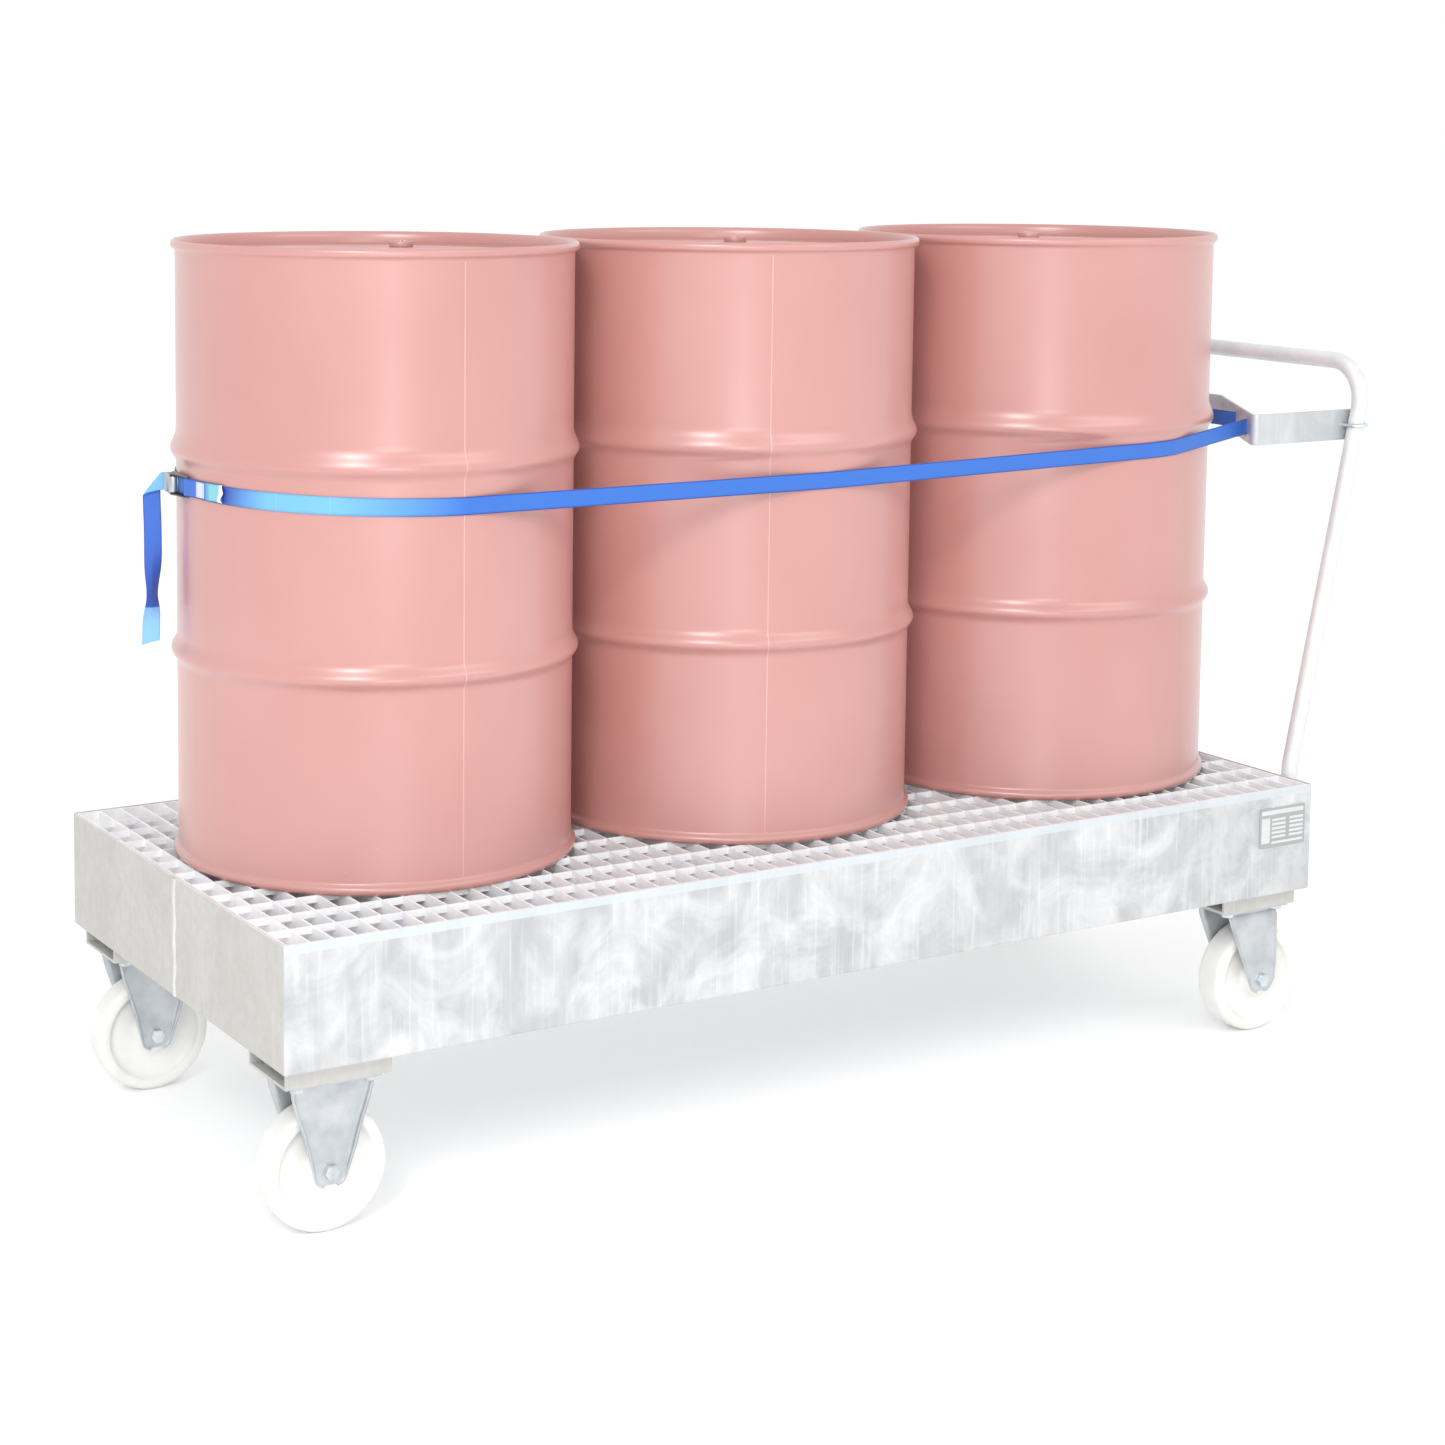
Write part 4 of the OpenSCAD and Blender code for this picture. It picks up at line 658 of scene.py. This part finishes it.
print("drum rest")
rest = {"height": 50, "sheet": 4, "level": 571, "arm": 200, "vee": 182, "floor": 40, "fold": 7,
    "clampPlay": 0.6, "clampRod": 6, "slotOuter": 56, "slotInner": 165, "slotWidth": 10, "slotHeight": 31}
restTubeX = handleX + (rest["level"] - handle["lower"]) * math.tan(lean) * mm
restY = handle["aside"] - handle["radius"] - rest["sheet"] / 2
foldX = restTubeX / mm - handle["radius"] - rest["arm"]
armEnd = restTubeX / mm + handle["radius"] + rest["clampPlay"] + rest["clampRod"] / 2 + 1.4 * rest["clampRod"]
restLine = [Vector((armEnd, -restY)), Vector((foldX, -restY)), Vector((foldX + rest["vee"], -rest["floor"])),
            Vector((foldX + rest["vee"], rest["floor"])), Vector((foldX, restY)), Vector((armEnd, restY))]


# A polyline with its corners rounded, as points; marks keep their own points on the straights
def roundedLine(points, radius, marks=()):
    line = [points[0]]
    for k in range(1, len(points) - 1):
        before, here, after = points[k - 1], points[k], points[k + 1]
        come, leave = (here - before).normalized(), (after - here).normalized()
        angle = come.angle(leave)
        back = radius * math.tan(angle / 2)
        for mark in marks:
            if mark[0] == k - 1:
                line.append(before + come * mark[1])
        start = here - come * back
        turn = 1 if come.x * leave.y - come.y * leave.x > 0 else -1
        centre = start + Vector((-come.y, come.x)) * radius * turn
        for step in range(9):
            a = turn * angle * step / 8
            spoke = start - centre
            line.append(centre + Vector((spoke.x * math.cos(a) - spoke.y * math.sin(a),
                                         spoke.x * math.sin(a) + spoke.y * math.cos(a))))
    line.append(points[-1])
    return line


slope = (restLine[2] - restLine[1]).length
slots = [rest["slotOuter"], rest["slotInner"]]
edges = sorted(s + way * rest["slotWidth"] / 2 for s in slots for way in (-1, 1))
marks = [(1, s) for s in edges] + [(3, slope - s) for s in reversed(edges)]
line = roundedLine(restLine, rest["fold"], marks)
heights = [-rest["height"] / 2, -rest["slotHeight"] / 2, 0, rest["slotHeight"] / 2, rest["height"] / 2]
bm = gridSheet(len(line) - 1, len(heights) - 1, lambda u, v: Vector((
    line[round(u * (len(line) - 1))].x * mm, line[round(u * (len(line) - 1))].y * mm,
    rim + (rest["level"] + heights[round(v * (len(heights) - 1))]) * mm)))
slotMiddles = [restLine[k] + (restLine[k + 1] - restLine[k]).normalized() * s
               for k, marksOn in ((1, slots), (3, [slope - s for s in slots])) for s in marksOn]
holes = [f for f in bm.faces
         if abs(f.calc_center_median().z - rim - rest["level"] * mm) < rest["slotHeight"] / 2 * mm
         and any((Vector(f.calc_center_median().xy) / mm - m).length < 2 for m in slotMiddles)]
bmesh.ops.delete(bm, geom=holes, context="FACES")
outwards(bm)
newPiece("drum_rest_folded", bm, galvanisedStrip, "chassis", "rest_strip", ["drum_rest"],
         modifiers=[("SOLIDIFY", {"thickness": rest["sheet"] * mm, "offset": 0}),
                    ("BEVEL", {"width": 0.6 * mm, "segments": 2, "limit_method": "ANGLE"})])


print("type plate")
plate = {"corner": 3, "relief": 0.15}
low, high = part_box("type_plate")
bm = boxBetween(low, high)
bmesh.ops.bevel(bm, geom=[e for e in bm.edges if abs(e.verts[0].co.y - e.verts[1].co.y) > 0.5 * mm],
                offset=plate["corner"] * mm, segments=4, affect="EDGES", profile=0.5, material=-1)
newPiece("type_plate_bare", bm, plateGrey, "chassis", "type_plate", ["type_plate"])
# Plain blocks stand where a plate carries its lines: left, bottom, width, height in millimetres
blocks = [(4, 54, 90, 7), (4, 8, 18, 41)] + [(26, 43 - 7 * k, 30, 4) for k in range(5)] \
    + [(64, 43 - 7 * k, 30, 4) for k in range(5)] + [(26, 6, 68, 4)]
bm = bmesh.new()
for left, bottom, width, height in blocks:
    middle = (low.x + (left + width / 2) * mm, low.y - plate["relief"] / 2 * mm,
        low.z + (bottom + height / 2) * mm)
    size = (width * mm, plate["relief"] * mm, height * mm, 1)
    bmesh.ops.create_cube(bm, size=1, matrix=Matrix.Translation(middle) @ Matrix.Diagonal(size))
newPiece("type_plate_fields", bm, plateLight, "chassis", "type_plate")


print("drums")
drum = {"radius": 286.5, "height": 885, "hoop": 295, "below": 22, "above": (26, 33), "gentle": 1.3,
    "hoops": (297.4, 586.8), "rim": 293.3, "rimHeight": 13, "headDrop": 20, "sheet": 1.5,
    "seams": {"front": 269, "middle": 250, "rear": 30}, "seamWidth": 1.8, "seamRise": 0.3}


# The outside of a drum's shell from its foot to its top rim, then down inside to the head
def drumProfile():
    r, top = drum["radius"], drum["height"]
    swell = drum["rim"] - r
    bead = [(r + swell * math.sin(math.radians(a)) ** 0.7 if 0 < a < 180 else r,
             drum["rimHeight"] * (1 - math.cos(math.radians(a))) / 2) for a in range(0, 181, 15)]
    points = [(drum["rim"] - 6.5, 4), (drum["rim"] - 5.5, 0.8), (drum["rim"] - 3.5, 0)] \
        + [(x, z) for x, z in bead if x > drum["rim"] - 3.5] + [(r + 0.6, 14.5), (r, 17.5)]
    # a hoop leaves the shell gently above and turns tightly at its crest
    for middle, above in zip(drum["hoops"], drum["above"]):
        for k in range(-10, 17):
            part = 1 - abs(k) / (10 if k < 0 else 16)
            rise = (1 - math.cos(math.pi * part ** drum["gentle"])) / 2
            points.append((r + (drum["hoop"] - r) * rise,
                middle + (1 - part) * (-drum["below"] if k < 0 else above)))
    points += [(r, top - 17.5), (r + 0.6, top - 14.5)]
    points += [(x, top - z) for x, z in reversed([p for p in bead if p[0] > drum["rim"] - 3.5])]
    points += [(drum["rim"] - 3.5, top), (drum["rim"] - 5.5, top - 0.8), (drum["rim"] - 7.0, top - 4),
               (r - drum["sheet"] - 0.5, top - 9), (r - drum["sheet"], top - drum["headDrop"] - 1)]
    return points


for name in ("front", "middle", "rear"):
    low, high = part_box(f"drum_{name}_shell")
    foot = Vector(((low.x + high.x) / 2, (low.y + high.y) / 2, low.z))
    profile = sorted(drumProfile()[3:-5], key=lambda p: p[1])
    whole = drumProfile()[:3] + profile + drumProfile()[-5:]
    bm = lathe([(r * mm, z * mm) for r, z in whole], foot, (0, 0, 1), 0, 160)
    newPiece(f"drum_{name}_body", bm, drumPaint, "drum_" + name, "drum_red", [f"drum_{name}_shell"], sharp=50)
    # the side seam is a narrow ground weld up the shell
    seamLine = [p for p in profile if 16 < p[1] < drum["height"] - 16]
    seamAt = math.radians(drum["seams"][name])

    def seamPoint(u, v):
        at = v * (len(seamLine) - 1)
        k = min(int(at), len(seamLine) - 2)
        r, z = [a + (b - a) * (at - k) for a, b in zip(seamLine[k], seamLine[k + 1])]
        r += drum["seamRise"] * math.sin(math.pi * u) - 0.05
        turn = seamAt + (u - 0.5) * drum["seamWidth"] / r
        return foot + Vector((r * math.cos(turn), r * math.sin(turn), z)) * mm
    newPiece(f"drum_{name}_seam", gridSheet(4, 2 * (len(seamLine) - 1), seamPoint), seamPaint, "drum_" + name,
             "drum_red", sharp=60)
    softened(f"drum_{name}_heads", 1.0 * mm, drumPaint, "drum_" + name, "drum_red", angle=40)
    softened(f"drum_{name}_bungs", 0.8 * mm, bungZinc, "drum_" + name, "bung_zinc", angle=40)


print("strap")
strap = {"width": 25, "thick": 1.5, "gap": 0.4, "buckleAngle": 172, "sewn": 92, "rowTurn": 2.1, "pitch": 591,
         "offset": 18, "atBuckle": 542, "atFirst": 533, "atMiddle": 536, "atLast": 552, "barY": 36,
         "tailReach": 40, "tailHang": 216, "tailTurn": 23, "tailRoll": 3, "tailDroop": 0.005}


def turnedBy(point, degrees):
    a = math.radians(degrees)
    return Vector((point[0] * math.cos(a) - point[1] * math.sin(a),
        point[0] * math.sin(a) + point[1] * math.cos(a)))


def polar(centre, radius, degrees):
    return Vector(centre) + turnedBy((radius, 0), degrees)


def arc(centre, radius, start, end, steps):
    return [polar(centre, radius, start + (end - start) * k / steps) for k in range(steps + 1)]


def drumAxis(k):
    return turnedBy((k * strap["pitch"], 0), -strap["rowTurn"]) + Vector((strap["offset"], 0))


def lifted(points, low, high):
    count = max(1, len(points) - 1)
    return [Vector((p[0], p[1], low + (high - low) * k / count)) for k, p in enumerate(points)]


restFold = foldX - middleX / mm
slopeWay = Vector((rest["vee"], restY - rest["floor"])).normalized()


def onSlope(side, along, away):
    p = Vector((restFold, -restY)) + along * slopeWay + away * Vector((slopeWay.y, -slopeWay.x))
    return Vector((p.x, -side * p.y))


strapR = drum["radius"] + strap["gap"] + strap["thick"] / 2
flapR = strapR + strap["thick"] + 0.1
baseOut = strapR + strap["thick"] / 2 + 0.25 + 1.5
topLayer = baseOut + 0.1 + strap["thick"] / 2
endBar = 5
barOut = math.sqrt(strapR ** 2 - strap["barY"] ** 2) + strap["thick"] / 2 + 0.1 + endBar / 2
barLoop = endBar / 2 + 0.1 + strap["thick"] / 2
turnY = 17.5


def atBuckle(p):
    return drumAxis(-1) + turnedBy(p, strap["buckleAngle"])


def bearing(centre, p):
    return math.degrees(math.atan2(p[1] - centre[1], p[0] - centre[0]))


def reach(centre, p):
    return math.degrees(math.acos(strapR / (p - centre).length))


lineFront, lineBack = 270 - strap["rowTurn"], 90 - strap["rowTurn"]
slotLeft = onSlope(-1, rest["slotOuter"] - 1.5, -rest["sheet"])
slotRight = onSlope(1, rest["slotOuter"] - 1.5, -rest["sheet"])
leaveFront = 360 + bearing(drumAxis(1), slotLeft) - reach(drumAxis(1), slotLeft)
meetBack = bearing(drumAxis(1), slotRight) + reach(drumAxis(1), slotRight)
meetFirst = bearing(drumAxis(-1), slotRight) + reach(drumAxis(-1), slotRight)
hook = rest["sheet"] / 2 + 0.2 + strap["thick"] / 2
sewnAngle = math.degrees(math.asin(strap["barY"] / strapR))


def throughSlots(side):
    places = [(rest["slotOuter"] - 1.5, -rest["sheet"]), (rest["slotOuter"], 0),
        (rest["slotOuter"] + 3, hook * 0.85), (rest["slotOuter"] + 6, hook), (rest["slotInner"] - 6, hook),
        (rest["slotInner"] - 3, hook * 0.85), (rest["slotInner"], 0),
        (rest["slotInner"] + 1.5, -rest["sheet"])]
    return [onSlope(side, a, b) for a, b in places]


buckleTurn = strap["buckleAngle"]
route = lifted(arc(drumAxis(-1), flapR, buckleTurn + sewnAngle + math.degrees(strap["sewn"] / flapR),
                   buckleTurn + sewnAngle + 4.5, 16), strap["atBuckle"], strap["atBuckle"])
route += lifted([atBuckle(polar((barOut, strap["barY"]), barLoop, 10 - k * 22.5)) for k in range(9)],
                strap["atBuckle"], strap["atBuckle"])
route += lifted(arc(drumAxis(-1), strapR, buckleTurn + sewnAngle + 1, lineFront, 60), strap["atBuckle"],
                strap["atFirst"])
route += [Vector((*polar(drumAxis(0), strapR, lineFront), strap["atMiddle"]))]
route += lifted(arc(drumAxis(1), strapR, lineFront, leaveFront, 14), strap["atLast"] - 2, strap["atLast"])
route += lifted(throughSlots(-1), rest["level"], rest["level"])
route += lifted(throughSlots(1)[::-1], rest["level"], rest["level"])
backTouches = meetBack < lineBack
if backTouches:
    route += lifted(arc(drumAxis(1), strapR, meetBack, lineBack, 10), strap["atLast"], strap["atLast"])
else:
    way = (polar(drumAxis(-1), strapR, meetFirst) - slotRight).normalized()
    near = slotRight + (drumAxis(1) - slotRight).dot(way) * way
    route += [Vector((near.x, near.y, strap["atLast"] + 4))]
route += lifted(arc(drumAxis(-1), strapR, lineBack if backTouches else meetFirst, buckleTurn, 60),
                strap["atBuckle"] - 2, strap["atBuckle"])
route += lifted([atBuckle(p) for p in (
    (strapR, turnY - 3), (strapR + 0.25, turnY + 0.5), ((strapR + topLayer) / 2, turnY + 2.1),
    (topLayer - 0.25, turnY + 0.5), (topLayer, turnY - 3), (topLayer, -27), (topLayer + 0.6, -31.5),
    (topLayer + 3.5, -36))], strap["atBuckle"], strap["atBuckle"])
route = [Vector((middleX + p.x * mm, p.y * mm, rim + p.z * mm)) for p in route]
lapLength = sum((after - before).length for before, after in zip(route[:26], route[1:27])) / mm


# Points every few millimetres along a route, corners kept
def refined(points, step):
    line = [points[0]]
    for before, after in zip(points, points[1:]):
        count = max(1, math.ceil((after - before).length / step))
        line += [before.lerp(after, k / count) for k in range(1, count + 1)]
    return line


line = refined(route, 12 * mm)
lengths = [0]
for before, after in zip(line, line[1:]):
    lengths.append(lengths[-1] + (after - before).length)


bm = gridSheet(6, len(line) - 1, lambda u, v: line[round(v * (len(line) - 1))]
               + zAxis * (u - 0.5) * strap["width"] * mm, uvSize=(1, 1))
layer = bm.loops.layers.uv["cloth"]
for face in bm.faces:
    for loop in face.loops:
        u, v = loop[layer].uv
        loop[layer].uv = (u * strap["width"], lengths[round(v * (len(line) - 1))] / mm)
# The run carries painted shade where it comes out from under the sewn lap, two rows of stitches cross it, and
# a long paler stretch after the lap is a painted highlight
lapEnd = lapLength + math.radians(buckleTurn + sewnAngle + math.degrees(strap["sewn"] / flapR)
                                  - (buckleTurn + sewnAngle + 1)) * strapR
webbingLitAndShaded = wovenWebbing("wovenPolyesterBlue", blueYarn, rib=1.6, pick=1.9, width=strap["width"],
    sections=[(lapEnd - 30, lapEnd + 40, (1, 76), -0.4, "#0C2E96", 0.95),
    (lapEnd + 94, lapEnd + 95.2, (0.4, 0.4), 0, "#A9D4FA", 0.6),
    (lapEnd + 172, lapEnd + 173, (0.4, 0.4), 0, "#C4E2FC", 0.5),
    (lapEnd + 40, lapEnd + 270, (80, 190), 0, "#7AC4FA", 0.75)])
webbing = newPiece("strap_webbing_woven", bm, webbingLitAndShaded, "chassis", "webbing", ["strap_webbing"], sharp=80,
                   modifiers=[("SOLIDIFY", {"thickness": strap["thick"] * mm, "offset": 0})])

# The free end: out from the buckle, folded over its corner, then down
tailStart = atBuckle((topLayer + 3.5, -36))
tailWay = turnedBy((1, 0), strap["buckleAngle"] - strap["tailTurn"])
tailWay3 = Vector((tailWay.x, tailWay.y, 0))
tailSide = Vector((-tailWay.y, tailWay.x, 0))
half = strap["width"] / 2
reachOut = strap["tailReach"] - half
total = reachOut + half + strap["tailHang"]


def tailPoint(u, v):
    h = (u - 0.5) * strap["width"]
    # the turn is a roll over a slanting line, so the hanging part comes down behind
    turnR = strap["tailRoll"]
    start = reachOut - math.pi * turnR / math.sqrt(2)
    along, past = (v * total - start - h) / math.sqrt(2), (v * total - start + h) / math.sqrt(2)
    if past < 0:
        over, back = past, 0
    elif past < math.pi * turnR:
        over, back = turnR * math.sin(past / turnR), turnR * (1 - math.cos(past / turnR))
    else:
        over, back = math.pi * turnR - past, 2 * turnR
    out = start + (along + over) / math.sqrt(2)
    drop = (over - along) / math.sqrt(2)
    # below the turn the band sways, pinches together to half its width and opens again
    fall = max(0.0, -drop - half)
    pinch = math.exp(-((fall - 150) / (48 if fall < 150 else 30)) ** 2)
    twist = math.radians(62) * pinch
    middle = reachOut - 1.5 * math.sin(fall / 40) * min(1, fall / 40)
    aside = (out - reachOut) * math.sin(twist)
    fold = 5 * pinch * (1 - abs(out - reachOut) / half)
    kick = 9 * max(0.0, (fall - 168) / 60) ** 1.3
    wave = 2.5 * math.sin(fall / 33 + 0.6) * min(1, fall / 50)
    out = middle + (out - reachOut) * math.cos(twist) if fall > 0 else out
    drop -= strap["tailDroop"] * out * out
    base = Vector((middleX + tailStart.x * mm, tailStart.y * mm, rim + strap["atBuckle"] * mm))
    sway = wave + aside + fold + kick - back
    return base + tailWay3 * (out + 0.2) * mm + zAxis * drop * mm + tailSide * sway * mm


# Painted light on the free end: paler as a painted highlight as far as the turn and again below the pinch,
# and darker as painted shade on the hanging part between
tailWebbingLitAndShaded = wovenWebbing("wovenPolyesterTailLitAndShaded", blueYarn, rib=1.6, pick=1.9, width=strap["width"],
    sections=[(-90, reachOut, (1, 1.5), 1, "#7EC0F6", 0.8),
    (reachOut + 15, 150, (30, 60), 0.5, "#2C5CC8", 0.45), (130, 206, (30, 2), -0.3, "#2450B8", 0.6),
    (207, 400, (2, 1), -0.3, "#8CC6F5", 0.85)])
bm = gridSheet(12, 190, tailPoint, uvSize=(strap["width"], total))
tail = newPiece("strap_tail_woven", bm, tailWebbingLitAndShaded, "chassis", "webbing", ["strap_tail"], sharp=80,
                modifiers=[("SOLIDIFY", {"thickness": 1.3 * mm, "offset": 0})])


# A bare label sewn on the strap's end; a loose one lifts and waves towards its free edge
def patch(name, start, length, height, thick, material, slot, node, loose=0):
    radius = flapR + strap["thick"] / 2 + 0.1 + thick / 2
    first = strap["buckleAngle"] + sewnAngle + math.degrees(start / radius)

    def place(u, v):
        free = max(0.0, (v - 0.55) / 0.45) ** 1.5 * loose
        ripple = free * (0.5 + 0.5 * math.sin(u * 7.5 + 0.8) * math.cos(u * 3.1))
        reached = length * v + free * 0.55 * math.sin(u * 9.5 + 2.2)
        p = polar(drumAxis(-1), radius + ripple, first + math.degrees(reached / radius))
        return Vector((middleX + p.x * mm, p.y * mm, rim + (strap["atBuckle"] + (u - 0.5) * height) * mm))
    bm = gridSheet(16, 28, place, uvSize=(height, length))
    return newPiece(name, bm, material, "chassis", slot, [node], sharp=80,
                    modifiers=[("SOLIDIFY", {"thickness": thick * mm, "offset": 0})])


label = patch("strap_label_bare", 30, 22, 22, 0.4, labelWhite, "label_white", "strap_label")
tag = patch("strap_tag_bare", 56, 40, 24, 0.6, labelTurquoise, "label_turquoise", "strap_tag", loose=4.5)


print("buckle")
softened("buckle_frame", 0.3 * mm, buckleZinc, "chassis", "buckle_zinc")
softened("buckle_bar", 0.4 * mm, buckleZinc, "chassis", "buckle_zinc")
softened("cam_pin", 0.4 * mm, buckleZinc, "chassis", "buckle_zinc")
softened("cam_lever", 0.3 * mm, camZinc, "cam", "buckle_cam")
repaint("cam_spring", buckleZinc)
